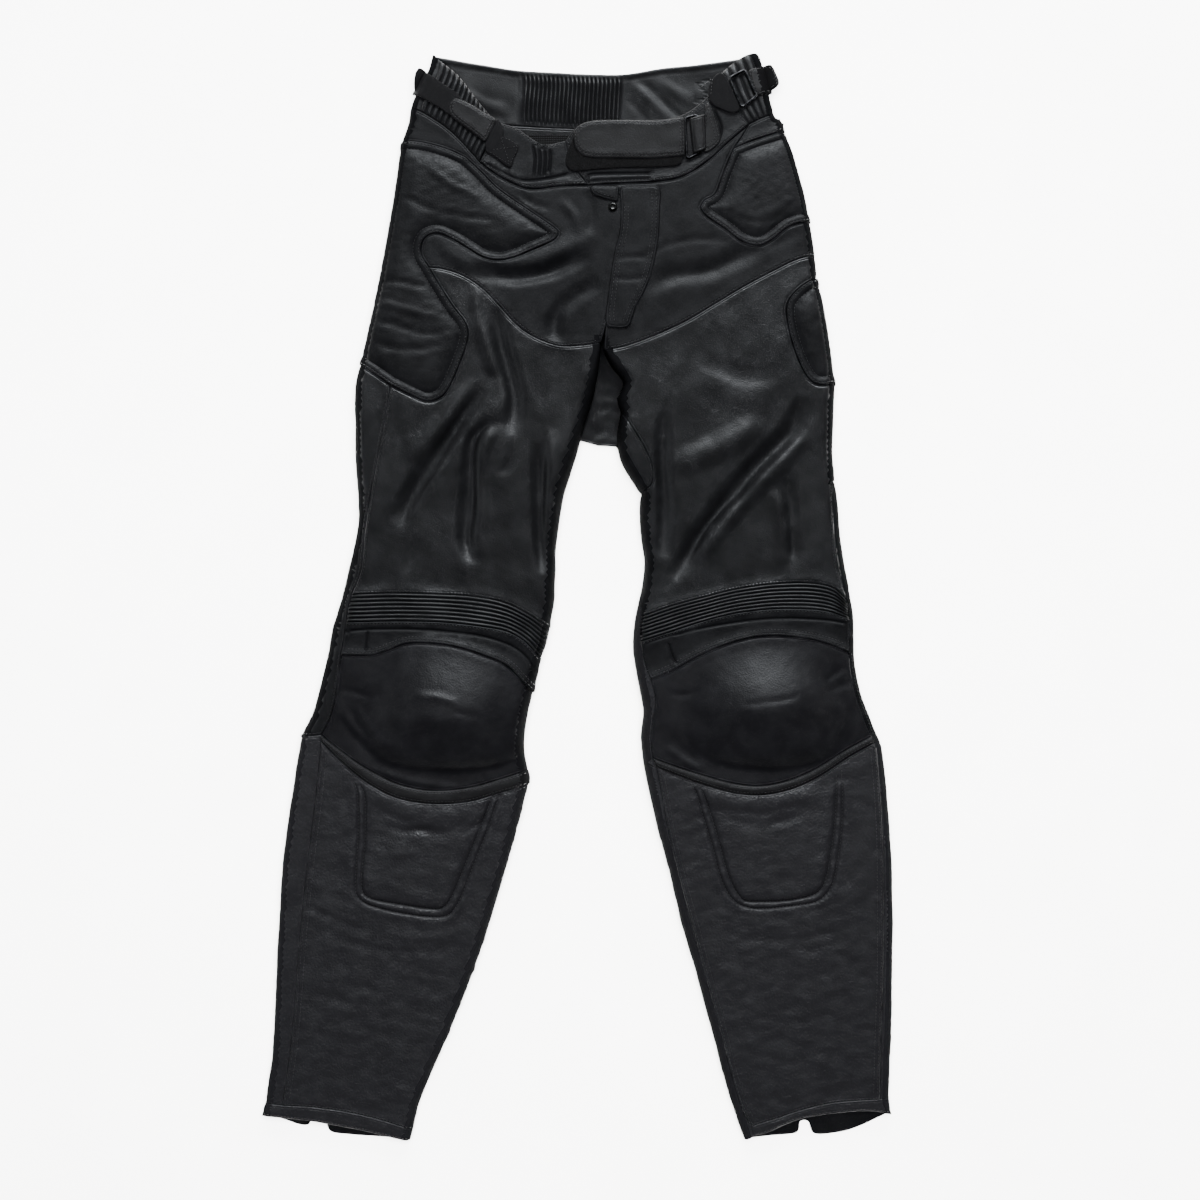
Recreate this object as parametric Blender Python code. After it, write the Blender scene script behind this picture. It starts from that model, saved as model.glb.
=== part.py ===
"""Leather motorcycle trousers, laid flat on their back with the front side up.

The trousers lie on Z = 0 with the waist towards +Y and the hems towards -Y. Every seam is given on
a cutting board ruled in millimetres, x from its left edge and y down from its top edge, and the
leather is lifted off the board by one height function, so neighbouring panels meet along one seam.
"""

import math

import bpy
import numpy as np
from mathutils.geometry import delaunay_2d_cdt

MM = 0.001
BOARD_CENTRE = (578.0, 597.5)

# Driving dimensions, in millimetres
LEATHER = 1.5
SEAM_GAP = 0.3
SIDE_SEAM_HEIGHT = 5.0
UNDER_ROLL = 5.0
BORDER_WIDTH = 8.0
PAD_THICKNESS = 6.0
PAD_SHOULDER = 9.0
RIB_HEIGHT = 1.5
KNEE_RIBS = 7
KNEE_STEPS = 10
BACK_RIBS = 23
BACK_FLAT_STEPS = 4
SIDE_RIBS = 13
KNEE_DOME = 23.0
LAYER = 1.4
PAD_SIDE_REACH = 20.0
RIM_ORDER = (1.0, 0.37)
FORK = (602.0, 348.0)
FORK_REACH = 45.0
FORK_PINCH = 0.15
GUSSET_LOW = 3.3
GUSSET_HIGH = 4.6
GUSSET_REACH = 5.0
GUSSET_WALL = 1.4

WIDE = 28.0
COARSE = 19.0
MEDIUM = 13.5
FLAT = 90.0
OUTLINE_STEP = 14.0
LONG_STEP = 22.0
LONG_LINE = 250.0
BACK_STEP = 24.0
CORNER_STEP = 5.0
ROLL_TURNS = (32.0, 60.0, 90.0)
BACK_TURNS = (90.0,)
FOLD_STEP = 15.0
FOLD_CLEARANCE = 8.0
ROW_CLEARANCE = 1.6
HEM_FRACTIONS = (0, 0.035, 0.12, 0.24, 0.3, 0.34, 0.4, 0.45, 0.6, 0.8, 0.965, 1)
ACROSS_FRACTIONS = (0, 0.03, 0.33, 0.67, 0.97, 1)

# The press stud and the rings, in millimetres
STUD_PLACE = (612.5, 212.5)
STUD_PROFILE = ((4.0, 0.8), (4.4, 1.6), (3.4, 2.6), (1.6, 3.0))
STUD_SIDES = 16
RING_WIRE = 2.6
RING_CORNER = 3.0
WIRE_SIDES = 8
RING_CLEARANCE = 0.4
SIDE_RING_CLEARANCE = 1.8
CLOSING_RING = ((684, 124), (696, 121), (700, 158), (686, 165))
SIDE_RING = ((728, 84), (743, 76), (755, 102), (740, 114))
KEEPER_TOP = ((689, 127), (697, 125), (705, 122))
KEEPER_FOOT = ((692, 157), (699, 156), (704, 154))
KEEPER_ARCH = 3.4

# Down the garment: board y, height of the leather over the floor, radius of its rolled side
BODY = (
    (57, 14, 8),
    (110, 19, 11),
    (160, 22, 13),
    (220, 25, 15),
    (330, 28, 17),
    (450, 29, 18),
    (560, 27, 16),
    (640, 26, 15),
    (780, 25, 15),
    (900, 22, 14),
    (1020, 19, 12),
    (1140, 14, 9),
)

# The cup over each knee: centre, half width, half length
CUPS = (
    ((450, 705), 84, 60),
    ((766, 700), 80, 60),
)
CUP_SQUARENESS = 2.3
CUP_STEEPNESS = 0.75

# Folds: half width, rise (a trough is negative) and the line each one follows
FOLDS = (
    (13, 5.0, ((446, 252), (480, 268), (520, 270), (560, 257), (600, 238))),
    (10, -5.0, ((470, 272), (510, 281), (550, 276), (590, 258))),
    (12, -4.0, ((600, 285), (575, 300), (556, 322), (556, 345))),
    (12, -4.0, ((497, 312), (504, 350), (512, 378), (517, 405), (512, 440))),
    (13, -4.5, ((492, 372), (464, 420), (440, 455), (416, 492), (398, 525))),
    (11, -6.0, ((508, 418), (478, 440), (472, 490), (468, 545), (488, 574), (532, 604))),
    (9, -4.0, ((538, 445), (541, 500), (543, 575))),
    (13, -5.5, ((802, 400), (788, 435), (752, 472), (720, 508), (694, 545), (672, 580))),
    (10, -4.0, ((664, 415), (662, 460), (665, 510), (661, 560))),
    (12, -3.0, ((640, 296), (668, 280), (704, 276), (736, 262), (764, 254))),
    (12, -3.0, ((782, 470), (787, 520), (789, 570))),
    (9, 3.0, ((372, 790), (410, 808), (450, 812), (492, 803))),
    (9, -3.0, ((372, 806), (410, 824), (450, 828), (492, 816))),
    (9, 3.0, ((690, 785), (730, 799), (770, 800), (820, 784))),
    (9, -3.0, ((700, 800), (740, 813), (780, 813), (826, 800))),
)

# Sides of the laid garment, top to bottom
OUTER_LEFT = {
    "waist": ((433, 57), (429, 72), (415, 100), (411, 112)),
    "yoke": ((411, 112), (409, 127), (402, 146)),
    "pad": ((402, 146), (399, 167), (396, 190), (390, 225), (381, 275), (372, 318), (361, 366)),
    "thigh": (
        (361, 366), (357, 388), (356, 420), (356, 460), (359, 500), (360, 522), (354, 552),
        (342, 600), (335, 624), (328, 658), (321, 687), (314, 712), (303, 735),
    ),
    "shin": (
        (303, 735), (298, 765), (291, 810), (284, 865), (279, 940), (276, 1000), (273, 1055),
        (267, 1099),
    ),
    "hem": ((267, 1099), (264, 1112)),
}
INNER_LEFT = {
    "fork": ((601, 346), (598, 370), (594, 395), (588, 418), (580, 441)),
    "thigh": (
        (580, 441), (571, 467), (564, 492), (560, 520), (556, 552), (555, 580), (554, 602),
        (550, 628),
    ),
    "ribs": ((550, 628), (546, 645), (541, 658)),
    "band": ((541, 658), (538, 675), (533, 692)),
    "cup": ((533, 692), (528, 714), (525, 735), (525, 752), (528, 768)),
    "border": ((528, 768), (529, 782)),
    "shin": (
        (529, 782), (524, 802), (514, 840), (502, 882), (488, 928), (470, 980), (450, 1030),
        (430, 1076), (419, 1104), (414, 1126),
    ),
    "hem": ((414, 1126), (411, 1138)),
}
OUTER_RIGHT = {
    "waist": ((757, 57), (761, 67), (765, 86), (770, 107), (773, 119)),
    "yoke": ((773, 119), (781, 124), (784, 135)),
    "pad_top": ((784, 135), (791, 152), (799, 180), (805, 205), (809, 225)),
    "hollow": ((809, 225), (812, 243), (814, 260)),
    "notch": ((814, 260), (815, 270), (816, 281)),
    "pad_low": ((816, 281), (822, 305), (828, 340), (834, 385)),
    "thigh": ((834, 385), (833, 420), (832, 450), (833, 482)),
    "strip": (
        (833, 482), (838, 525), (844, 565), (850, 600), (853, 624), (853, 650), (856, 676),
        (861, 696), (869, 718), (880, 744),
    ),
    "shin": (
        (880, 744), (884, 775), (888, 820), (891, 870), (892, 925), (891, 985), (889, 1050),
        (888, 1094),
    ),
    "hem": ((888, 1094), (890, 1111)),
}
INNER_RIGHT = {
    "fork": ((604, 354), (612, 368), (623, 384), (618, 399), (621, 414)),
    "gusset": ((621, 414), (618, 430), (617, 447)),
    "bulge": ((617, 447), (621, 463), (631, 480), (641, 495)),
    "thigh": ((641, 495), (640, 516), (641, 540), (644, 562), (642, 585), (638, 603)),
    "strip": (
        (638, 603), (634, 628), (633, 648), (636, 670), (641, 697), (643, 712), (641, 735),
        (643, 762), (649, 792), (658, 830), (670, 874), (681, 920), (692, 958), (704, 1003),
        (716, 1046), (728, 1090), (744, 1138),
    ),
}

# Seams between panels, left to right or top to bottom
SEAMS = {
    "band_top_left": ((433, 57), (441, 65), (460, 81), (480, 107), (497, 127)),
    "band_front_left": ((497, 127), (517, 133), (530, 142), (545, 150), (566, 146)),
    "band_end_left": ((497, 127), (490, 148), (481, 167)),
    "band_close_left": ((566, 146), (572, 168), (588, 190)),
    "side_foot_left": ((411, 112), (430, 121), (455, 139), (481, 167)),
    "band_foot_left": ((481, 167), (500, 181), (520, 191), (536, 194), (560, 191), (588, 190)),
    "pad_head_left": ((402, 146), (425, 148), (450, 155), (467, 163)),
    "pad_tip_left": (
        (467, 163), (482, 177), (500, 195), (530, 216), (556, 234), (558, 240), (552, 246),
        (532, 255), (515, 262), (500, 265), (485, 262), (470, 253), (455, 244), (440, 238),
        (429, 241), (424, 249), (424, 260), (431, 272),
    ),
    "pad_foot_left": (
        (431, 272), (441, 289), (455, 311), (466, 325), (470, 337), (467, 352), (458, 376),
        (449, 394), (440, 402), (429, 404), (416, 399), (394, 388),
    ),
    "pad_hem_left": ((394, 388), (378, 377), (361, 366)),
    "yoke_left": (
        (431, 272), (447, 274), (466, 281), (483, 292), (498, 307), (512, 323), (527, 336),
        (544, 345), (562, 350), (584, 349), (601, 346),
    ),
    "centre": ((588, 190), (596, 240), (601, 300), (601, 346)),
    "centre_right": ((588, 190), (596, 240), (601, 300), (604, 354)),
    "strip_left": (
        (394, 388), (390, 412), (384, 446), (376, 487), (369, 530), (365, 570), (356, 594),
    ),
    "strip_knee_left": ((350, 622), (347, 640), (345, 654)),
    "strip_ribs_left": ((356, 594), (352, 608), (350, 622)),
    "strip_cup_left": ((345, 654), (342, 675), (338, 703), (332, 721), (325, 733)),
    "strip_end_left": ((303, 735), (325, 733)),
    "ribs_top_left": (
        (356, 594), (400, 593), (445, 594), (482, 597), (508, 603), (530, 614), (550, 628),
    ),
    "ribs_foot_left": (
        (350, 622), (400, 621), (445, 622), (482, 626), (508, 631), (527, 642), (541, 658),
    ),
    "band_foot_knee_left": (
        (345, 654), (375, 654), (392, 649), (408, 643), (428, 642), (455, 645), (485, 654),
        (510, 666), (533, 692),
    ),
    "border_top_left": (
        (325, 733), (341, 746), (360, 760), (382, 773), (405, 783), (435, 788), (470, 785),
        (500, 777), (528, 768),
    ),
    "border_foot_left": (
        (325, 740), (338, 753), (357, 770), (378, 785), (402, 796), (435, 801), (470, 799),
        (502, 790), (529, 782),
    ),
    "shin_strip_left": (
        (325, 740), (322, 775), (318, 810), (311, 865), (303, 940), (297, 1015), (291, 1065),
        (285, 1101),
    ),
    "hem_strip_left": ((267, 1099), (285, 1101)),
    "hem_top_left": ((285, 1101), (315, 1103), (345, 1107), (380, 1115), (414, 1126)),
    "hem_front_left": (
        (264, 1112), (285, 1114), (312, 1117), (340, 1122), (370, 1128), (411, 1138),
    ),
    "band_top_right": (
        (566, 146), (576, 133), (592, 126), (622, 125), (655, 125), (682, 120), (708, 100), (720, 78),
    ),
    "side_top_right": ((720, 78), (732, 68), (745, 60), (757, 57)),
    "band_end_right": ((720, 78), (729, 100), (739, 118), (747, 130)),
    "side_foot_right": ((747, 130), (759, 124), (773, 119)),
    "band_foot_right": (
        (588, 190), (625, 188), (660, 186), (682, 181), (705, 167), (726, 148), (747, 130),
    ),
    "yoke_foot_right": ((732, 154), (745, 148), (762, 142), (784, 135)),
    "yoke_side_right": ((747, 130), (740, 142), (732, 154)),
    "pad_front_right": ((732, 154), (722, 178), (714, 199), (703, 206), (699, 213)),
    "pad_tip_right": (
        (699, 213), (705, 221), (724, 234), (740, 246), (757, 250), (770, 244), (787, 231),
        (809, 225),
    ),
    "yoke_right": (
        (604, 354), (625, 350), (655, 339), (685, 325), (712, 309), (740, 292), (770, 276),
        (795, 264), (814, 260),
    ),
    "pad_low_right": (
        (816, 281), (803, 288), (792, 297), (785, 307), (784, 320), (789, 345), (798, 369),
        (807, 383), (818, 388), (834, 385),
    ),
    "strip_head_right": ((833, 482), (829, 483)),
    "strip_right": ((829, 483), (830, 520), (832, 556), (838, 585), (845, 603)),
    "strip_ribs_right": ((845, 603), (846, 612), (846, 619)),
    "strip_knee_right": ((846, 619), (846, 637), (846, 652)),
    "strip_cup_right": ((846, 652), (848, 672), (853, 692), (860, 713), (868, 734)),
    "strip_end_right": ((868, 734), (874, 740), (880, 744)),
    "ribs_top_right": (
        (641, 616), (670, 606), (702, 597), (735, 589), (770, 584), (805, 583), (830, 588),
        (845, 603),
    ),
    "ribs_foot_right": (
        (640, 641), (668, 632), (702, 621), (735, 613), (770, 609), (805, 609), (828, 612),
        (846, 619),
    ),
    "band_foot_knee_right": (
        (650, 678), (672, 669), (695, 656), (720, 645), (748, 637), (775, 635), (805, 638),
        (828, 644), (846, 652),
    ),
    "border_top_right": (
        (652, 756), (680, 766), (706, 774), (733, 781), (760, 783), (788, 777), (815, 765),
        (842, 748), (868, 734),
    ),
    "border_foot_right": (
        (656, 765), (682, 775), (708, 784), (735, 791), (762, 792), (790, 786), (818, 773),
        (845, 755), (872, 740),
    ),
    "inner_thigh_right": ((638, 603), (641, 609), (641, 616)),
    "inner_ribs_right": ((641, 616), (639, 628), (640, 641)),
    "inner_band_right": ((640, 641), (643, 659), (650, 678)),
    "inner_cup_right": ((650, 678), (655, 700), (652, 719), (650, 736), (652, 756)),
    "inner_shin_right": (
        (656, 765), (662, 798), (670, 840), (681, 884), (693, 928), (706, 978), (718, 1022),
        (730, 1070), (739, 1100), (750, 1122),
    ),
    "inner_hem_right": ((750, 1122), (753, 1132)),
    "inner_foot_right": ((744, 1138), (753, 1132)),
    "shin_strip_right": (
        (872, 740), (876, 785), (879, 835), (880, 900), (880, 970), (878, 1040), (877, 1095),
    ),
    "hem_strip_right": ((877, 1095), (888, 1094)),
    "hem_top_right": ((750, 1122), (775, 1114), (802, 1105), (835, 1098), (877, 1095)),
    "hem_front_right": (
        (753, 1132), (768, 1128), (783, 1121), (803, 1114), (836, 1109), (868, 1107), (890, 1111),
    ),
    "fold_right": ((621, 414), (633, 432), (645, 452), (652, 470), (651, 485), (641, 495)),
    "fork_head": ((601, 346), (604, 354)),
    "crotch_left": ((580, 441), (598, 446)),
    "crotch_right": ((598, 446), (617, 447)),
    "back_band_top": (
        (433, 57), (475, 64), (520, 71), (575, 74), (622, 75), (660, 69), (700, 65), (757, 57),
    ),
    "back_band_foot_left": ((411, 112), (460, 121), (522, 127), (592, 130)),
    "back_band_foot_right": ((592, 130), (640, 128), (700, 123), (773, 119)),
    "back_centre": ((592, 130), (594, 280), (598, 446)),
    "back_hem_left": (
        (264, 1112), (285, 1119), (300, 1124), (309, 1124), (313, 1117), (325, 1119), (331, 1131),
        (352, 1134), (380, 1136), (411, 1138),
    ),
    "back_hem_right": (
        (744, 1138), (770, 1135), (796, 1132), (800, 1121), (808, 1121), (814, 1133), (836, 1132),
        (858, 1126), (890, 1111),
    ),
}

SIDES = {
    "outer_left": OUTER_LEFT,
    "inner_left": INNER_LEFT,
    "outer_right": OUTER_RIGHT,
    "inner_right": INNER_RIGHT,
}
LINES = dict(SEAMS)
for side_name, stretches in SIDES.items():
    for stretch_name, stretch_points in stretches.items():
        LINES[f"{side_name}.{stretch_name}"] = stretch_points

# Steps along the lines that ribbed pieces share with their neighbours
STEPS = {
    "strip_ribs_left": 2 * KNEE_RIBS,
    "inner_left.ribs": 2 * KNEE_RIBS,
    "strip_ribs_right": 2 * KNEE_RIBS,
    "inner_ribs_right": 2 * KNEE_RIBS,
    "ribs_top_left": KNEE_STEPS,
    "ribs_foot_left": KNEE_STEPS,
    "ribs_top_right": KNEE_STEPS,
    "ribs_foot_right": KNEE_STEPS,
    "band_top_left": 2 * SIDE_RIBS + 4,
    "side_foot_left": 2 * SIDE_RIBS + 4,
    "side_top_right": 10,
    "side_foot_right": 10,
}
# Places along the lines that a strap's edges cross, and along the ribbed back band
FRACTIONS = {
    "outer_left.waist": (0, 0.28, 0.5, 0.72, 1),
    "band_end_left": (0, 0.08, 0.3, 0.52, 1),
    "band_end_right": (0, 0.25, 0.42, 0.6, 1),
    "outer_right.waist": (0, 0.25, 0.45, 0.65, 1),
    "back_band_foot_left": (0, *np.linspace(0.035, 0.62, 4), *np.linspace(0.62, 1, 34)[1:]),
    "back_band_foot_right": (*np.linspace(0, 0.155, 14), *np.linspace(0.155, 0.965, 5)[1:], 1),
    "back_band_top": (
        0, *np.linspace(0.02, 0.278, 4), *np.linspace(0.278, 0.577, 47)[1:],
        *np.linspace(0.577, 0.98, 5)[1:], 1,
    ),
}

# Panels cut freely, with the lines round each one (a minus sign runs a line backwards),
# the spacing of its points and its leather
CUT_PANELS = (
    ("front_band_left", MEDIUM, "leather",
     "band_end_left band_foot_left -band_close_left -band_front_left"),
    ("front_band_right", MEDIUM, "leather",
     "band_close_left band_foot_right -band_end_right -band_top_right"),
    ("front_hip_left", COARSE, "leather",
     "outer_left.yoke pad_head_left pad_tip_left yoke_left -centre -band_foot_left"
     " -side_foot_left"),
    ("front_hip_right", COARSE, "leather",
     "centre_right yoke_right -outer_right.hollow -pad_tip_right -pad_front_right"
     " -yoke_side_right -band_foot_right"),
    ("side_yoke_right", COARSE, "leather",
     "side_foot_right outer_right.yoke -yoke_foot_right -yoke_side_right"),
    ("hip_pad_left", COARSE, "padded",
     "outer_left.pad -pad_hem_left -pad_foot_left -pad_tip_left -pad_head_left"),
    ("hip_pad_right_upper", COARSE, "padded",
     "yoke_foot_right outer_right.pad_top -pad_tip_right -pad_front_right"),
    ("hip_pad_right_lower", COARSE, "padded", "outer_right.pad_low -pad_low_right"),
    ("thigh_left", COARSE, "leather",
     "yoke_left inner_left.fork inner_left.thigh -ribs_top_left -strip_left -pad_foot_left"),
    ("thigh_right", COARSE, "leather",
     "yoke_right outer_right.notch pad_low_right outer_right.thigh strip_head_right"
     " strip_right -ribs_top_right -inner_thigh_right -inner_right.thigh -fold_right -inner_right.fork"),
    ("thigh_inner_right", MEDIUM, "leather",
     "fold_right -inner_right.bulge -inner_right.gusset"),
    ("side_strip_left", MEDIUM, "leather",
     "pad_hem_left outer_left.thigh strip_end_left -strip_cup_left -strip_knee_left"
     " -strip_ribs_left -strip_left"),
    ("side_strip_right", MEDIUM, "leather",
     "outer_right.strip -strip_end_right -strip_cup_right -strip_knee_right"
     " -strip_ribs_right -strip_right -strip_head_right"),
    ("knee_band_left", MEDIUM, "leather",
     "ribs_foot_left inner_left.band -band_foot_knee_left -strip_knee_left"),
    ("knee_band_right", MEDIUM, "leather",
     "ribs_foot_right strip_knee_right -band_foot_knee_right -inner_band_right"),
    ("knee_cup_left", MEDIUM, "padded",
     "band_foot_knee_left inner_left.cup -border_top_left -strip_cup_left"),
    ("knee_cup_right", MEDIUM, "padded",
     "band_foot_knee_right strip_cup_right -border_top_right -inner_cup_right"),
    ("knee_binding_left", MEDIUM, "leather",
     "border_top_left inner_left.border -border_foot_left"),
    ("knee_binding_right", MEDIUM, "leather", "border_top_right -border_foot_right"),
    ("shin_left", WIDE, "leather",
     "border_foot_left inner_left.shin -hem_top_left -shin_strip_left"),
    ("shin_right", WIDE, "leather",
     "border_foot_right shin_strip_right -hem_top_right -inner_shin_right"),
    ("shin_strip_left", COARSE, "leather",
     "outer_left.shin hem_strip_left -shin_strip_left -strip_end_left"),
    ("shin_strip_right", COARSE, "leather",
     "strip_end_right outer_right.shin -hem_strip_right -shin_strip_right"),
    ("inner_strip_right", COARSE, "leather",
     "inner_right.strip inner_foot_right -inner_hem_right -inner_shin_right"
     " -inner_cup_right -inner_band_right -inner_ribs_right -inner_thigh_right"),
    ("hem_left", MEDIUM, "leather",
     "outer_left.hem hem_front_left -inner_left.hem -hem_top_left -hem_strip_left"),
    ("hem_right", MEDIUM, "leather",
     "hem_top_right hem_strip_right outer_right.hem -hem_front_right -inner_hem_right"),
)

# Layers sewn on a panel: the panel, the layers already under it, and its outline
LAYERS = (
    ("fly_placket", "front_hip_right", 0, "leather", (
        (621, 193), (620, 212), (619, 234), (614, 256), (611, 276), (608, 300), (606, 318),
        (608, 330), (627, 331), (633, 320), (643, 297), (652, 272), (658, 240), (659, 216),
        (659, 192),
    )),
    ("fly_top", "front_hip_right", 0, "leather", (
        (594, 193), (594, 200), (603, 204), (618, 206), (618, 192),
    )),
    ("closing_base", "front_band_right", 0, "webbing", (
        (594, 131), (622, 129), (655, 129), (679, 125), (681, 169), (662, 172), (625, 173),
        (598, 175), (582, 176), (578, 166), (592, 166),
    )),
    ("closing_tab", "front_band_right", 1, "leather", (
        (575, 145), (577, 137), (583, 132), (594, 128.5), (622, 127.5), (655, 127.5),
        (679, 123.5), (681, 160), (656, 163), (625, 164.5), (592, 163), (583, 160), (577, 154),
    )),
    ("strap_patch_right", "front_band_right", 0, "leather", (
        (706, 113), (711, 111), (719, 140), (717, 149), (705, 156),
    )),
    ("webbing_right", "front_band_right", 0, "webbing", (
        (711, 104), (721, 88), (727, 101), (735, 117), (728, 122), (714, 110),
    )),
    ("side_patch_left", "front_band_left", 0, "leather", (
        (493, 149), (502, 141), (519, 152), (512, 172), (497, 163),
    )),
)

# Straps that cross a ribbed side section: the section, first and last column, first and last row
RIBBED_STRAPS = (
    ("webbing_left", "side_waist_left", 1, 12, 1, 3, "webbing"),
    ("side_tab_left", "side_waist_left", 13, 29, 1, 3, "leather"),
    ("side_tab_right", "side_waist_right", 7, 9, 1, 3, "leather"),
)

LEATHERS = {
    "leather": ((0.018, 0.018, 0.020, 1), 0.42, 0.0),
    "padded": ((0.016, 0.016, 0.018, 1), 0.45, 0.0),
    "elastic": ((0.020, 0.020, 0.022, 1), 0.50, 0.0),
    "webbing": ((0.010, 0.010, 0.011, 1), 0.90, 0.0),
    "metal": ((0.32, 0.32, 0.33, 1), 0.35, 1.0),
}


def along(points, fractions):
    """Points at these fractions of the length of a curve that passes through the given points."""
    knots = np.asarray(points, float)
    padded = np.vstack([2 * knots[0] - knots[1], knots, 2 * knots[-1] - knots[-2]])
    t = np.linspace(0, 1, 9)[:-1, None]
    curve = []
    for a, b, c, d in zip(padded, padded[1:], padded[2:], padded[3:]):
        curve.append(
            b + 0.5 * t * (c - a) + t**2 * (a - 2.5 * b + 2 * c - 0.5 * d)
            + t**3 * (1.5 * (b - c) + 0.5 * (d - a))
        )
    curve = np.vstack(curve + [knots[-1:]])
    length = np.concatenate([[0], np.cumsum(np.linalg.norm(np.diff(curve, axis=0), axis=1))])
    at = np.asarray(fractions) * length[-1]
    return np.column_stack([np.interp(at, length, curve[:, axis]) for axis in (0, 1)])


def measured(points):
    """The length of a run of points."""
    return float(np.linalg.norm(np.diff(np.asarray(points, float), axis=0), axis=1).sum())


SAMPLED = {}


def line(name):
    """The points of a named line, the same ones for both of its neighbours."""
    if name.startswith("-"):
        return line(name[1:])[::-1]
    if name not in SAMPLED:
        length = measured(LINES[name])
        step = LONG_STEP if length > LONG_LINE else OUTLINE_STEP
        steps = STEPS.get(name) or max(1, round(length / step))
        fractions = FRACTIONS.get(name, np.linspace(0, 1, steps + 1))
        SAMPLED[name] = along(LINES[name], fractions)
    return SAMPLED[name]


def joined(names):
    """The closed outline along named lines, and whether a side runs on from each point."""
    points = []
    on_side = []
    runs = [(line(name), "." in name) for name in names.split()]
    for (run, is_side), (following, _) in zip(runs, runs[1:] + runs[:1]):
        stays = np.linalg.norm(run[-1] - following[0]) > 0.05
        kept = run if stays else run[:-1]
        points.append(kept)
        on_side += [is_side] * len(kept)
    return np.vstack(points), np.array(on_side)


def turn(outline):
    """Twice the signed area of a closed outline on the board."""
    ahead = np.roll(outline, -1, axis=0)
    return float((outline[:, 0] * ahead[:, 1] - outline[:, 1] * ahead[:, 0]).sum())


def inset(outline, distance):
    """A closed outline moved inwards by half the gap that a seam keeps."""
    ahead = np.roll(outline, -1, axis=0) - outline
    ahead /= np.linalg.norm(ahead, axis=1, keepdims=True)
    behind = np.roll(ahead, 1, axis=0)
    sign = 1 if turn(outline) > 0 else -1
    normal = sign * np.column_stack([-ahead[:, 1], ahead[:, 0]])
    before = np.roll(normal, 1, axis=0)
    bisector = normal + before
    size = np.maximum(1 + (normal * before).sum(axis=1), 0.25)
    return outline + bisector * (distance / size)[:, None]


def square_to(run):
    """A direction square to a run of points at each of them, turned smoothly."""
    ahead = np.gradient(run, axis=0)
    ahead /= np.linalg.norm(ahead, axis=1, keepdims=True)
    return np.column_stack([-ahead[:, 1], ahead[:, 0]])


def nearest(points, run):
    """For each point, the distance to a run of points, the fraction of its length nearest to it
    and the direction away from the run there."""
    a, b = run[:-1], run[1:]
    span = b - a
    squared = np.maximum((span**2).sum(axis=1), 1e-12)
    offset = points[:, None, :] - a[None]
    t = np.clip((offset * span[None]).sum(axis=2) / squared, 0, 1)
    foot = a[None] + t[..., None] * span[None]
    distance = np.linalg.norm(points[:, None, :] - foot, axis=2)
    best = distance.argmin(axis=1)
    rows = np.arange(len(points))
    length = np.concatenate([[0], np.cumsum(np.sqrt(squared))])
    share = t[rows, best]
    fraction = (length[best] + share * np.sqrt(squared[best])) / length[-1]
    square = square_to(run)
    away = (1 - share)[:, None] * square[best] + share[:, None] * square[best + 1]
    away *= np.where(((points - foot[rows, best]) * away).sum(axis=1) < 0, -1, 1)[:, None]
    return distance[rows, best], fraction, away / np.linalg.norm(away, axis=1, keepdims=True)


def inside(points, outline):
    """Whether each point is inside a closed outline."""
    a, b = outline, np.roll(outline, -1, axis=0)
    x, y = points[:, 0:1], points[:, 1:2]
    spans = (a[:, 1] > y) != (b[:, 1] > y)
    rise = np.where(b[:, 1] == a[:, 1], 1e-9, b[:, 1] - a[:, 1])
    crossing = a[:, 0] + (y - a[:, 1]) * (b[:, 0] - a[:, 0]) / rise
    return (spans & (x < crossing)).sum(axis=1) % 2 == 1


def side_run(side_name):
    """The whole of one side, top to bottom."""
    runs = [line(f"{side_name}.{part}") for part in SIDES[side_name]]
    return np.vstack([run[:-1] for run in runs] + [runs[-1][-1:]])


def side_distance(points, runs):
    """The distance to the nearest side, and the direction away from it."""
    found = [nearest(points, run) for run in runs]
    distances = np.array([distance for distance, _, _ in found])
    best = distances.argmin(axis=0)
    rows = np.arange(len(points))
    away = np.array([direction for _, _, direction in found])
    return distances[best, rows], away[best, rows]


def body_height(points):
    """The height of the leather over the floor, away from the rolled sides."""
    table = np.array(BODY, float)
    height = np.interp(points[:, 1], table[:, 0], table[:, 1])
    for (x, y), half_width, half_length in CUPS:
        reach = (
            np.abs((points[:, 0] - x) / half_width) ** CUP_SQUARENESS
            + np.abs((points[:, 1] - y) / half_length) ** CUP_SQUARENESS
        )
        height += KNEE_DOME * np.clip(1 - reach, 0, 1) ** CUP_STEEPNESS
    for half_width, rise, route in FOLDS:
        distance, fraction, _ = nearest(points, along(route, np.linspace(0, 1, 13)))
        across = np.cos(np.clip(distance / half_width, 0, 1) * math.pi / 2) ** 2
        ends = np.clip(np.minimum(fraction, 1 - fraction) / 0.3, 0, 1)
        height += rise * across * ends * (2 - ends)
    return height


def body_slope(points):
    """How fast the body's height changes in x and y."""
    step = 1.0
    slope = []
    for shift in ((step, 0), (0, step)):
        ahead = body_height(points + np.array(shift))
        behind = body_height(points - np.array(shift))
        slope.append((ahead - behind) / (2 * step))
    return np.column_stack(slope)


def roll(points, runs, radius):
    """The sine and cosine of the angle that a rolled side has turned through, and the way in."""
    distance, way_in = side_distance(points, runs)
    cosine = 1 - np.clip((distance - SEAM_GAP / 2) / radius, 0, 1)
    sine = np.sqrt(np.maximum(1 - cosine**2, 0))
    return sine, cosine, way_in


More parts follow.
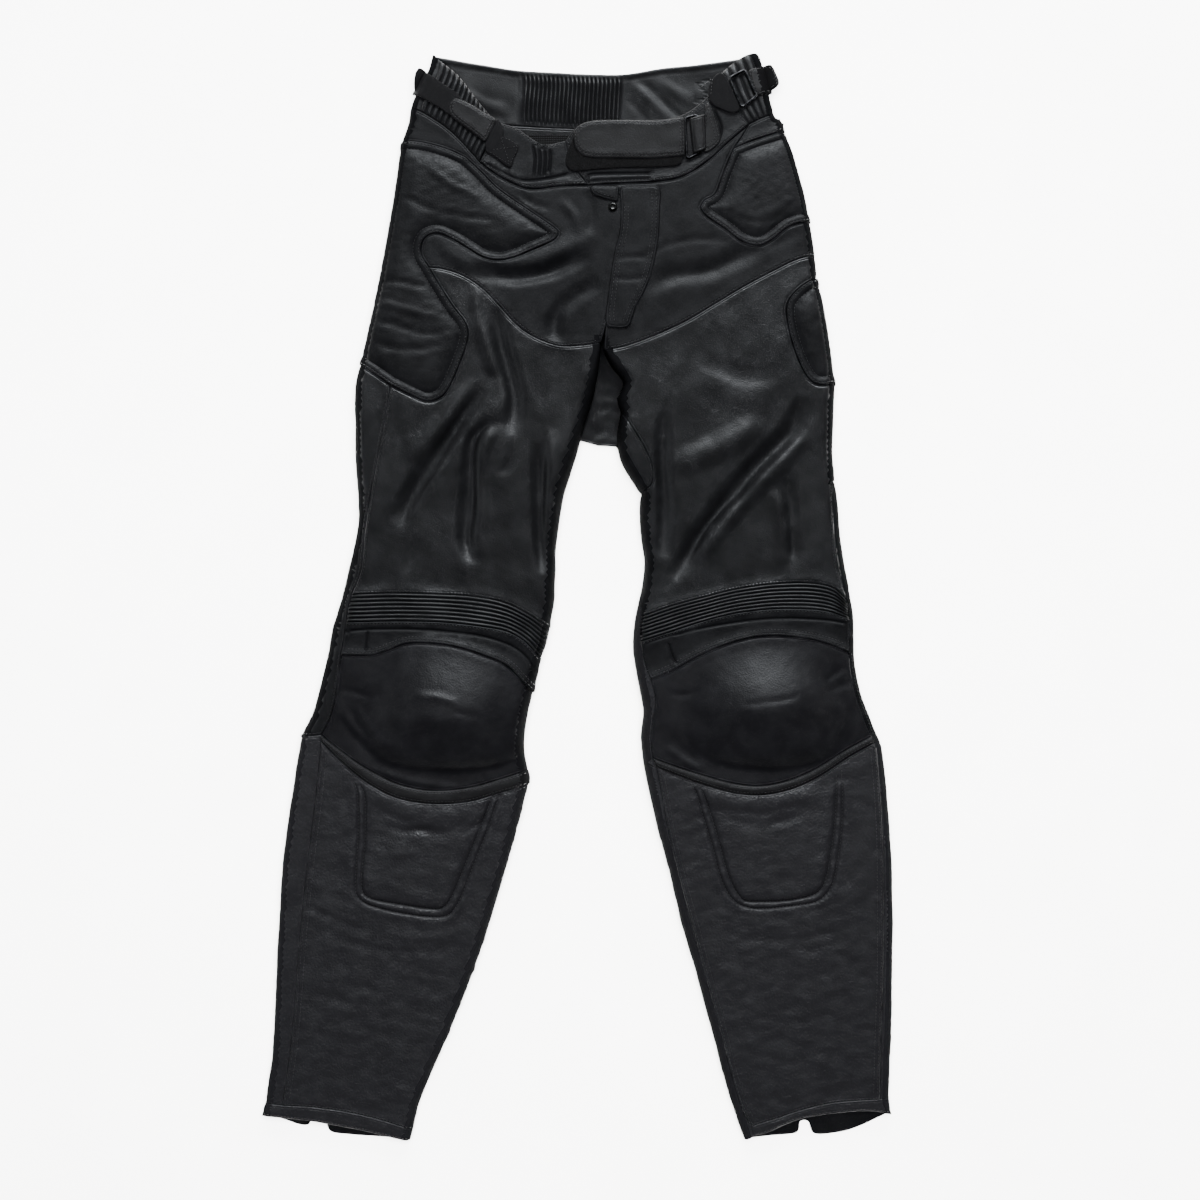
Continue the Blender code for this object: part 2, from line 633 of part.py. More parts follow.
def front_skin(points):
    """Height and outward direction of the uppermost leather."""
    table = np.array(BODY, float)
    radius = np.interp(points[:, 1], table[:, 0], table[:, 2])
    from_fork = np.linalg.norm(points - np.array(FORK), axis=1)
    radius = radius * np.clip(from_fork / FORK_REACH, FORK_PINCH, 1)
    sine, cosine, way_in = roll(points, FRONT_SIDES, radius)
    rise = body_height(points) - SIDE_SEAM_HEIGHT
    normal = -(rise * cosine / radius)[:, None] * way_in - (sine**2)[:, None] * body_slope(points)
    return SIDE_SEAM_HEIGHT + rise * sine, upright(normal, sine)


def turned_up(points, runs):
    """Height and outward direction of leather on the floor that turns up at these sides."""
    sine, cosine, way_in = roll(points, runs, UNDER_ROLL)
    top = SIDE_SEAM_HEIGHT - SEAM_GAP
    return top * (1 - sine), upright(-cosine[:, None] * way_in, -sine)


def back_skin(points):
    """The back of the legs, turned up at all four sides."""
    return turned_up(points, OUTER_SIDES + INNER_SIDES)


def seat_skin(points):
    """The back over the hips, turned up at its two outer sides."""
    return turned_up(points, OUTER_SIDES)


def gusset_skin(points):
    """Height and outward direction of the piece that lies low in the fork."""
    distance, _ = side_distance(points, FRONT_SIDES)
    height = GUSSET_LOW + (GUSSET_HIGH - GUSSET_LOW) * np.exp(-distance / GUSSET_REACH)
    return height, upright(np.zeros((len(points), 2)), np.ones(len(points)))


def upright(flat, lift):
    """Unit directions from their parts on the board and over it."""
    whole = np.column_stack([flat, lift])
    return whole / np.maximum(np.linalg.norm(whole, axis=1, keepdims=True), 1e-9)


def side_rows(outline, on_side, radius_at, turns):
    """Points in rows along the rolled sides of a panel, where the leather turns over."""
    ahead = np.roll(outline, -1, axis=0)
    behind = np.roll(outline, 1, axis=0)
    along_it = ahead - behind
    along_it /= np.linalg.norm(along_it, axis=1, keepdims=True)
    sign = 1 if turn(outline) > 0 else -1
    normal = sign * np.column_stack([-along_it[:, 1], along_it[:, 0]])
    both = on_side & np.roll(on_side, 1)
    rows = []
    for angle in turns:
        depth = radius_at(outline[both, 1]) * (1 - math.cos(math.radians(angle)))
        rows.append(outline[both] + normal[both] * np.reshape(depth, (-1, 1)))
    return np.vstack(rows) if rows and both.any() else np.zeros((0, 2))


def fold_rows():
    """Points along the crest and the foot of each fold."""
    rows = []
    for half_width, _, route in FOLDS:
        steps = max(3, round(measured(route) / FOLD_STEP))
        crest = along(route, np.linspace(0, 1, steps + 1))
        aside = square_to(crest) * half_width
        rows += [crest, crest + aside, crest - aside]
    return rows


def hexagons(outline, spacing):
    """Points of a triangular lattice over the box of an outline."""
    low, high = outline.min(axis=0), outline.max(axis=0)
    points = []
    for row, y in enumerate(np.arange(low[1], high[1], spacing * math.sqrt(3) / 2)):
        start = low[0] + (row % 2) * spacing / 2
        points += [(x, y) for x in np.arange(start, high[0], spacing)]
    return np.array(points)


def spread(chosen, candidates, clearance):
    """The candidates that stay this far from those chosen and from each other, added on."""
    kept = list(chosen)
    for point in candidates:
        near = np.array(kept) - point if kept else np.full((1, 2), 1e9)
        if (near**2).sum(axis=1).min() > clearance**2:
            kept.append(point)
    return kept


def cut(outline, on_side, spacing, radius_at, turns, inner_lines=(), extra=()):
    """A panel cut along its outline: its points, outline first, and its triangles."""
    closed = np.vstack([outline, outline[:1]])
    ring = [np.asarray(loop, float) for loop in inner_lines]
    fixed = list(outline) + [point for loop in ring for point in loop]
    rows = side_rows(outline, on_side, radius_at, turns)
    rows = rows[inside(rows, outline)] if len(rows) else rows
    clear_of = [np.vstack([loop, loop[:1]]) for loop in ring]
    chosen = spread(fixed, rows, ROW_CLEARANCE)
    plain = closed
    for group, clearance in [(points, FOLD_CLEARANCE) for points in extra] + [
        (hexagons(outline, spacing), 0.62 * spacing)
    ]:
        group = group[inside(group, outline)]
        if not len(group):
            continue
        far = nearest(group, plain)[0] > 0.55 * clearance
        for loop in clear_of:
            far &= nearest(group, loop)[0] > 0.3 * clearance
        chosen = spread(chosen, group[far], clearance)
    edges = []
    first = len(outline)
    for loop in ring:
        edges += [(first + i, first + (i + 1) % len(loop)) for i in range(len(loop))]
        first += len(loop)
    faces = [list(range(len(outline)))]
    result = delaunay_2d_cdt([tuple(point) for point in chosen], edges, faces, 1, 1e-6)
    points = np.array([tuple(point) for point in result[0]])
    return points, [tuple(face) for face in result[2]]


def grid(sides):
    """A panel of rows and columns between four lines: top, bottom, left and right."""
    top, bottom, left, right = sides
    names = np.vstack([top[:-1], right[:-1], bottom[::-1][:-1], left[::-1][:-1]])
    shrunk = inset(names, SEAM_GAP / 2)
    a, b, c = len(top) - 1, len(right) - 1, len(bottom) - 1
    top = shrunk[: a + 1]
    right = shrunk[a : a + b + 1]
    bottom = shrunk[a + b : a + b + c + 1][::-1]
    left = np.vstack([shrunk[a + b + c :], shrunk[:1]])[::-1]
    u = np.linspace(0, 1, len(top))[None, :, None]
    v = np.linspace(0, 1, len(left))[:, None, None]
    across = (1 - u) * left[:, None] + u * right[:, None]
    down = (1 - v) * top[None] + v * bottom[None]
    corners = (
        (1 - u) * (1 - v) * top[0] + u * (1 - v) * top[-1]
        + (1 - u) * v * bottom[0] + u * v * bottom[-1]
    )
    points = across + down - corners
    return points.reshape(-1, 2), len(top), len(left)


def grid_faces(columns, first, last, top, bottom):
    """Triangles over a block of a grid's cells, rows and columns counted from 0."""
    faces = []
    for row in range(top, bottom):
        for column in range(first, last):
            a = row * columns + column
            b, c, d = a + 1, a + columns + 1, a + columns
            if (row + column) % 2:
                faces += [(a, b, c), (a, c, d)]
            else:
                faces += [(a, b, d), (b, c, d)]
    return faces


def material(name):
    """A plain material from the table of leathers."""
    found = bpy.data.materials.get(name)
    if found:
        return found
    made = bpy.data.materials.new(name)
    made.use_nodes = True
    shader = made.node_tree.nodes["Principled BSDF"]
    colour, roughness, metallic = LEATHERS[name]
    shader.inputs["Base Color"].default_value = colour
    shader.inputs["Roughness"].default_value = roughness
    shader.inputs["Metallic"].default_value = metallic
    return made


def add_object(name, vertices, faces, leather):
    """One named object from points on the board with a height, all in millimetres."""
    mesh = bpy.data.meshes.new(name)
    x0, y0 = BOARD_CENTRE
    mesh.from_pydata([((x - x0) * MM, (y0 - y) * MM, z * MM) for x, y, z in vertices], [], faces)
    mesh.materials.append(material(leather))
    mesh.validate()
    made = bpy.data.objects.new(name, mesh)
    bpy.context.collection.objects.link(made)
    return made


def wall(name, leather, points, faces, skin, low, high):
    """A closed wall of leather from `low` to `high` over a skin, along its outward direction."""
    used = sorted({corner for face in faces for corner in face})
    place = {corner: index for index, corner in enumerate(used)}
    points = points[used]
    height, normal = skin(points)
    whole = np.column_stack([points, height])
    low = np.broadcast_to(low, len(height) if np.ndim(low) == 0 else np.shape(low))
    high = np.broadcast_to(high, len(height) if np.ndim(high) == 0 else np.shape(high))
    low = low if len(low) == len(used) else low[used]
    high = high if len(high) == len(used) else high[used]
    outer = whole + normal * high[:, None]
    inner = whole + normal * low[:, None]
    facing_up = normal[:, 2].mean() > 0
    turned = []
    for a, b, c in faces:
        a, b, c = place[a], place[b], place[c]
        counted = np.cross(points[b] - points[a], points[c] - points[a]) > 0
        turned.append((a, c, b) if counted == facing_up else (a, b, c))
    count = len(used)
    solid = list(turned) + [(c + count, b + count, a + count) for a, b, c in turned]
    edges = {}
    for a, b, c in turned:
        for edge in ((a, b), (b, c), (c, a)):
            edges[edge] = True
    for a, b in edges:
        if (b, a) in edges:
            continue
        if points[a] @ RIM_ORDER < points[b] @ RIM_ORDER:
            solid += [(b, a, a + count), (b, a + count, b + count)]
        else:
            solid += [(b, a, b + count), (a, a + count, b + count)]
    return add_object(name, np.vstack([outer, inner]), solid, leather)


def front_radius(y):
    """The radius of the rolled side at a place down the garment."""
    table = np.array(BODY, float)
    return np.interp(y, table[:, 0], table[:, 2])


def back_radius(y):
    """The radius that the back turns up by at its edges."""
    return np.full(np.shape(y), UNDER_ROLL)


def pad_lift(points, names):
    """How far a hip pad rises inside its flat border."""
    seams = [line(name) for name in names.split() if "." not in name]
    from_seam = np.min([nearest(points, seam)[0] for seam in seams], axis=0)
    from_side, _ = side_distance(points, FRONT_SIDES)
    rise = np.clip((from_seam - BORDER_WIDTH) / PAD_SHOULDER, 0, 1)
    return PAD_THICKNESS * rise * (2 - rise) * np.clip(from_side / PAD_SIDE_REACH, 0, 1)


def pad_rows(names):
    """Points along the foot and the shoulder of a hip pad's raised part."""
    outline, on_side = joined(names)
    rows = []
    for depth in (BORDER_WIDTH, BORDER_WIDTH + PAD_SHOULDER):
        shrunk = inset(outline, depth)
        seams = [line(name) for name in names.split() if "." not in name]
        distance = np.min([nearest(shrunk, seam)[0] for seam in seams], axis=0)
        rows.append(shrunk[~on_side & (distance > 0.8 * depth)])
    return rows


def make_panels():
    """The panels of the front, and the layers that lie on them."""
    folds = fold_rows()
    for name, spacing, leather, names in CUT_PANELS:
        outline, on_side = joined(names)
        outline = inset(outline, SEAM_GAP / 2)
        padded = name.startswith("hip_pad")
        layers = [layer for layer in LAYERS if layer[1] == name]
        extra = (pad_rows(names) if padded else []) + folds
        points, faces = cut(
            outline, on_side, spacing, front_radius, ROLL_TURNS, [layer[4] for layer in layers], extra
        )
        lift = pad_lift(points, names) if padded else 0.0
        wall(name, leather, points, faces, front_skin, -LEATHER, lift)
        middles = np.array([points[list(face)].mean(axis=0) for face in faces])
        for layer_name, _, level, layer_leather, loop in layers:
            under = inside(middles, np.array(loop, float))
            covered = [face for face, chosen in zip(faces, under) if chosen]
            low = SEAM_GAP + level * (LAYER + SEAM_GAP)
            wall(layer_name, layer_leather, points, covered, front_skin, low, low + LAYER)


def rib_lift(columns, rows, ribbed_columns, ribbed_rows, height):
    """The lift of each point of a grid, every second line in the ribbed part raised."""
    lift = np.zeros((rows, columns))
    for column in ribbed_columns:
        lift[:, column] = height
    for row in ribbed_rows:
        lift[row, :] = height
    return lift.ravel()


def make_knee_ribs():
    """The accordion stretch panel over each knee."""
    for side, left, right in (
        ("left", "strip_ribs_left", "inner_left.ribs"),
        ("right", "inner_ribs_right", "strip_ribs_right"),
    ):
        top, bottom = line(f"ribs_top_{side}"), line(f"ribs_foot_{side}")
        points, columns, rows = grid((top, bottom, line(left), line(right)))
        lift = rib_lift(columns, rows, (), range(1, rows - 1, 2), RIB_HEIGHT)
        faces = grid_faces(columns, 0, columns - 1, 0, rows - 1)
        wall(f"knee_ribs_{side}", "elastic", points, faces, front_skin, -LEATHER, lift)


def make_side_sections():
    """The ribbed elastic sections at the sides of the waist, and the straps across them."""
    for name, top, bottom, left, right, first in (
        ("side_waist_left", "band_top_left", "side_foot_left", "outer_left.waist",
         "band_end_left", 5),
        ("side_waist_right", "side_top_right", "side_foot_right", "band_end_right",
         "outer_right.waist", 1),
    ):
        points, columns, rows = grid([line(part) for part in (top, bottom, left, right)])
        ribbed = range(first, columns - 1, 2)
        lift = rib_lift(columns, rows, ribbed, (), RIB_HEIGHT)
        lift = lift.reshape(rows, columns) * (np.arange(rows) % (rows - 1) > 0)[:, None]
        faces = grid_faces(columns, 0, columns - 1, 0, rows - 1)
        wall(name, "elastic", points, faces, front_skin, -LEATHER, lift.ravel())
        for strap, section, start, end, highest, lowest, leather in RIBBED_STRAPS:
            if section == name:
                covered = grid_faces(columns, start, end, highest, lowest)
                low = RIB_HEIGHT + SEAM_GAP
                wall(strap, leather, points, covered, front_skin, low, low + LAYER)


def make_back_band():
    """The back waistband, with elastic ribs that stand up on its inside."""
    foot = np.vstack([line("back_band_foot_left")[:-1], line("back_band_foot_right")])
    sides = (line("back_band_top"), foot, line("outer_left.waist"), line("outer_right.waist"))
    points, columns, rows = grid(sides)
    ribbed = range(BACK_FLAT_STEPS + 1, BACK_FLAT_STEPS + 2 * BACK_RIBS, 2)
    ridge = rib_lift(columns, rows, ribbed, (), RIB_HEIGHT).reshape(rows, columns)
    ridge = ridge * (np.arange(rows) % (rows - 1) > 0)[:, None]
    faces = grid_faces(columns, 0, columns - 1, 0, rows - 1)
    wall("back_band", "elastic", points, faces, seat_skin, -LEATHER - ridge.ravel(), 0.0)


def at_side(side_name, y):
    """The point of a side at a place down the garment."""
    run = side_run(side_name)
    return (float(np.interp(y, run[:, 1], run[:, 0])), y)


def between(side_name, start, end):
    """The points of a side between two places down the garment, thinned."""
    low, high = min(start, end), max(start, end)
    last = at_side(side_name, high)
    corners = [line(f"{side_name}.{part}")[-1] for part in SIDES[side_name]]
    kept = [at_side(side_name, low)]
    for point in side_run(side_name):
        is_corner = min(math.dist(point, corner) for corner in corners) < 0.01
        step = CORNER_STEP if is_corner else BACK_STEP
        far = math.dist(point, kept[-1]) > step and math.dist(point, last) > CORNER_STEP
        if low < point[1] < high and far:
            kept.append(tuple(point))
    kept.append(last)
    return np.array(kept if start < end else kept[::-1])


def across(outer, inner, places):
    """A seam across the back, from a side through its middle points to another side."""
    (start, middle, end) = places
    knots = [at_side(outer, start), *middle, at_side(inner, end)]
    return along(knots, ACROSS_FRACTIONS)


def make_back():
    """The back panels, flat on the floor with their side edges turned up."""
    foot_left, foot_right = line("back_band_foot_left"), line("back_band_foot_right")
    centre = line("back_centre")
    seat_left = across("outer_left", "inner_left", (405, ((430, 418), (510, 432)), 441))
    seat_right = across("inner_right", "outer_right", (447, ((690, 436), (770, 420)), 405))
    knee_left = across("outer_left", "inner_left", (658, ((430, 668),), 658))
    knee_right = across("inner_right", "outer_right", (670, ((750, 676),), 668))
    hem_left = along(SEAMS["back_hem_left"], HEM_FRACTIONS)
    hem_right = along(SEAMS["back_hem_right"], HEM_FRACTIONS)
    loops = {
        "back_seat_left": (
            (foot_left, 0), (centre, 0), (line("-crotch_left"), 0), (seat_left[::-1], 0),
            (between("outer_left", 405, 112), 1),
        ),
        "back_seat_right": (
            (foot_right, 0), (between("outer_right", 119, 405), 1), (seat_right[::-1], 0),
            (line("-crotch_right"), 0), (centre[::-1], 0),
        ),
        "back_thigh_left": (
            (seat_left, 0), (between("inner_left", 441, 658), 1), (knee_left[::-1], 0),
            (between("outer_left", 658, 405), 1),
        ),
        "back_thigh_right": (
            (seat_right, 0), (between("outer_right", 405, 668), 1), (knee_right[::-1], 0),
            (between("inner_right", 670, 447), 1),
        ),
        "back_calf_left": (
            (knee_left, 0), (between("inner_left", 658, 1138), 1), (hem_left[::-1], 0),
            (between("outer_left", 1112, 658), 1),
        ),
        "back_calf_right": (
            (knee_right, 0), (between("outer_right", 668, 1111), 1), (hem_right[::-1], 0),
            (between("inner_right", 1138, 670), 1),
        ),
    }
    for name, runs in loops.items():
        outline = []
        on_side = []
        for (run, is_side), (following, _) in zip(runs, runs[1:] + runs[:1]):
            stays = np.linalg.norm(run[-1] - following[0]) > 1.0
            outline.append(run if stays else run[:-1])
            on_side += [bool(is_side)] * len(outline[-1])
        outline = inset(np.vstack(outline), SEAM_GAP / 2)
        points, faces = cut(outline, np.array(on_side), FLAT, back_radius, BACK_TURNS)
        skin = seat_skin if "seat" in name else back_skin
        wall(name, "leather", points, faces, skin, -LEATHER, 0.0)


def make_gusset():
    """The piece that closes the fork between the legs."""
    names = "fork_head inner_right.fork inner_right.gusset -crotch_right -crotch_left -inner_left.fork"
    outline, on_side = joined(names)
    outline = inset(outline, SEAM_GAP / 2)
    points, faces = cut(outline, on_side & False, MEDIUM, back_radius, ())
    wall("gusset", "leather", points, faces, gusset_skin, -GUSSET_WALL, 0.0)


def ring(name, corners, wire, clearance):
    """A rectangular wire ring that lies over the leather, with rounded corners."""
    path = []
    count = len(corners)
    for i in range(count):
        before, here, after = (np.array(corners[(i + k) % count], float) for k in (-1, 0, 1))
        start = here + (before - here) * RING_CORNER / np.linalg.norm(before - here)
        end = here + (after - here) * RING_CORNER / np.linalg.norm(after - here)
        for t in (0, 0.5, 1):
            path.append((1 - t) ** 2 * start + 2 * t * (1 - t) * here + t**2 * end)
    path = np.array(path)
    height, normal = front_skin(path)
    centres = np.column_stack([path, height]) + normal * (clearance + wire / 2)
    ahead = np.roll(centres, -1, axis=0) - np.roll(centres, 1, axis=0)
    ahead /= np.linalg.norm(ahead, axis=1, keepdims=True)
    aside = np.cross(ahead, normal)
    aside /= np.linalg.norm(aside, axis=1, keepdims=True)
    upwards = np.cross(aside, ahead)
    vertices = []
    for centre, out, up in zip(centres, aside, upwards):
        for k in range(WIRE_SIDES):
            angle = 2 * math.pi * k / WIRE_SIDES
            vertices.append(centre + wire / 2 * (out * math.cos(angle) + up * math.sin(angle)))
    faces = []
    length = len(path)
    for i in range(length):
        for k in range(WIRE_SIDES):
            a, b = i * WIRE_SIDES + k, i * WIRE_SIDES + (k + 1) % WIRE_SIDES
            j = (i + 1) % length
            c, d = j * WIRE_SIDES + (k + 1) % WIRE_SIDES, j * WIRE_SIDES + k
            faces.append((a, b, c, d) if turn(path) > 0 else (d, c, b, a))
    return add_object(name, vertices, faces, "metal")


def make_press_stud():
    """The cap of the press stud at the top of the fly."""
    centre = np.array([STUD_PLACE], float)
    height, normal = front_skin(centre)
    base = np.array([*centre[0], height[0]])
    up = normal[0]
    out = np.cross(up, (0, 1, 0))
    out /= np.linalg.norm(out)
    aside = np.cross(up, out)
    vertices = []
    for radius, lift in STUD_PROFILE:
        for k in range(STUD_SIDES):
            angle = 2 * math.pi * k / STUD_SIDES
            turned = out * math.cos(angle) + aside * math.sin(angle)
            vertices.append(base + radius * turned + lift * up)
    last = (len(STUD_PROFILE) - 1) * STUD_SIDES
    faces = [tuple(range(STUD_SIDES)), tuple(range(last + STUD_SIDES - 1, last - 1, -1))]
    for row in range(len(STUD_PROFILE) - 1):
        for k in range(STUD_SIDES):
            a, b = row * STUD_SIDES + k, row * STUD_SIDES + (k + 1) % STUD_SIDES
            faces.append((b, a, a + STUD_SIDES, b + STUD_SIDES))
    add_object("press_stud", vertices, faces, "metal")


def make_keeper():
    """The leather keeper that holds the closing ring, bridged over the ring's right bar."""
    top, bottom = along(KEEPER_TOP, np.linspace(0, 1, 7)), along(KEEPER_FOOT, np.linspace(0, 1, 7))
    rows = np.linspace(0, 1, 5)[:, None, None]
    points = ((1 - rows) * top + rows * bottom).reshape(-1, 2)
    arch = np.tile(np.sin(np.linspace(0, 1, 7) * math.pi) ** 0.5, 5)
    low = SEAM_GAP + KEEPER_ARCH * arch
    wall("closing_keeper", "leather", points, grid_faces(7, 0, 6, 0, 4), front_skin, low, low + LAYER)


for old in list(bpy.data.objects):
    bpy.data.objects.remove(old, do_unlink=True)

FRONT_SIDES = [side_run(name) for name in SIDES]
OUTER_SIDES = [side_run("outer_left"), side_run("outer_right")]
INNER_SIDES = [
    np.vstack([line(f"inner_left.{part}") for part in list(INNER_LEFT)[1:]]),
    np.vstack([line(f"inner_right.{part}") for part in list(INNER_RIGHT)[2:]]),
]

make_panels()
make_knee_ribs()
make_side_sections()
make_back_band()
make_back()
make_gusset()
make_press_stud()
make_keeper()
ring("closing_ring", CLOSING_RING, RING_WIRE, RING_CLEARANCE)
ring("side_ring_right", SIDE_RING, RING_WIRE, SIDE_RING_CLEARANCE)
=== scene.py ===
# %% [markdown]
# # Leather motorcycle trousers, laid flat with the front up
#
# The imported solids come in as a fixed frame, in metres, and this lesson dresses them: every panel of
# leather is cut again on a fine mesh along the same seams, lifted by the same height function as its
# solid, and given creases, seam edges, stitches and a leather finish. The frame is loaded first.

# %% Load the frame
import math

import bpy
import numpy as np
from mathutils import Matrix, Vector
from mathutils.geometry import delaunay_2d_cdt


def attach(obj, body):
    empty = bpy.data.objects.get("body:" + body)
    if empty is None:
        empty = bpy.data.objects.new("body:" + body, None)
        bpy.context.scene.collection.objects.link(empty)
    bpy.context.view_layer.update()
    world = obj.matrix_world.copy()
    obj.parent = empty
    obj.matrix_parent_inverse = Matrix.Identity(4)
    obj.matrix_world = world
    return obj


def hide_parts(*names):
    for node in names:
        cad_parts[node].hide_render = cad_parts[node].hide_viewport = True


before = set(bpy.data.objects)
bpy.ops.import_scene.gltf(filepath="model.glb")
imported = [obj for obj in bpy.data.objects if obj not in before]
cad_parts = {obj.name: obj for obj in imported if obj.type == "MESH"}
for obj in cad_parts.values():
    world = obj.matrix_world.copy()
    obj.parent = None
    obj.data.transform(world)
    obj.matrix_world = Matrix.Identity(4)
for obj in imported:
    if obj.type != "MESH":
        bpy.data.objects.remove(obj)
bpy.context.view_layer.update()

# %% [markdown]
# ## The camera
#
# The trousers were photographed from straight above, so the camera looks down with no tilt. A long lens
# from 1.8 m up keeps the legs from spreading. The frame is 1200 mm wide on the floor, and its middle is
# a little to the right of the garment's.

# %% The camera over the floor
MM = 0.001
CAMERA_HEIGHT = 1.8
FRAME_WIDTH = 1.2
FRAME_MIDDLE = (0.022, -0.0025)
SENSOR = 36
camera_data = bpy.data.cameras.new("camera")
camera_data.sensor_width = SENSOR
camera_data.lens = SENSOR * CAMERA_HEIGHT / FRAME_WIDTH
camera = bpy.data.objects.new("camera", camera_data)
camera.location = (*FRAME_MIDDLE, CAMERA_HEIGHT)
bpy.context.collection.objects.link(camera)
bpy.context.scene.camera = camera
print("lens", round(camera_data.lens, 1), "mm")

# %% [markdown]
# ## The cutting board
#
# A tailor draws a garment flat. All seams are drawn here on a board ruled in millimetres, x to the
# right and y down, as the front of the trousers looks from above. Each side is a list of stretches that
# run down the garment, and each seam is a list of points that a smooth curve passes through. Two
# neighbours share one line, so they always meet.

# %% Sides and seams
BOARD_CENTRE = (578.0, 597.5)
# Sides of the laid garment, top to bottom
OUTER_LEFT = {
    "waist": ((433, 57), (429, 72), (415, 100), (411, 112)),
    "yoke": ((411, 112), (409, 127), (402, 146)),
    "pad": ((402, 146), (399, 167), (396, 190), (390, 225), (381, 275), (372, 318), (361, 366)),
    "thigh": (
        (361, 366), (357, 388), (356, 420), (356, 460), (359, 500), (360, 522), (354, 552), (342, 600),
        (335, 624), (328, 658), (321, 687), (314, 712), (303, 735),
    ),
    "shin": (
        (303, 735), (298, 765), (291, 810), (284, 865), (279, 940), (276, 1000), (273, 1055),
        (267, 1099),
    ),
    "hem": ((267, 1099), (264, 1112)),
}
INNER_LEFT = {
    "fork": ((601, 346), (598, 370), (594, 395), (588, 418), (580, 441)),
    "thigh": (
        (580, 441), (571, 467), (564, 492), (560, 520), (556, 552), (555, 580), (554, 602), (550, 628),
    ),
    "ribs": ((550, 628), (546, 645), (541, 658)),
    "band": ((541, 658), (538, 675), (533, 692)),
    "cup": ((533, 692), (528, 714), (525, 735), (525, 752), (528, 768)),
    "border": ((528, 768), (529, 782)),
    "shin": (
        (529, 782), (524, 802), (514, 840), (502, 882), (488, 928), (470, 980), (450, 1030),
        (430, 1076), (419, 1104), (414, 1126),
    ),
    "hem": ((414, 1126), (411, 1138)),
}
OUTER_RIGHT = {
    "waist": ((757, 57), (761, 67), (765, 86), (770, 107), (773, 119)),
    "yoke": ((773, 119), (781, 124), (784, 135)),
    "pad_top": ((784, 135), (791, 152), (799, 180), (805, 205), (809, 225)),
    "hollow": ((809, 225), (812, 243), (814, 260)),
    "notch": ((814, 260), (815, 270), (816, 281)),
    "pad_low": ((816, 281), (822, 305), (828, 340), (834, 385)),
    "thigh": ((834, 385), (833, 420), (832, 450), (833, 482)),
    "strip": (
        (833, 482), (838, 525), (844, 565), (850, 600), (853, 624), (853, 650), (856, 676), (861, 696),
        (869, 718), (880, 744),
    ),
    "shin": (
        (880, 744), (884, 775), (888, 820), (891, 870), (892, 925), (891, 985), (889, 1050),
        (888, 1094),
    ),
    "hem": ((888, 1094), (890, 1111)),
}
INNER_RIGHT = {
    "fork": ((604, 354), (612, 368), (623, 384), (618, 399), (621, 414)),
    "gusset": ((621, 414), (618, 430), (617, 447)),
    "bulge": ((617, 447), (621, 463), (631, 480), (641, 495)),
    "thigh": ((641, 495), (640, 516), (641, 540), (644, 562), (642, 585), (638, 603)),
    "strip": (
        (638, 603), (634, 628), (633, 648), (636, 670), (641, 697), (643, 712), (641, 735), (643, 762),
        (649, 792), (658, 830), (670, 874), (681, 920), (692, 958), (704, 1003), (716, 1046),
        (728, 1090), (744, 1138),
    ),
}

CENTRE = (
    (588, 190), (604, 195), (618, 199), (624, 212), (623, 234), (618, 258), (614, 284), (611, 306),
    (606, 328),
)
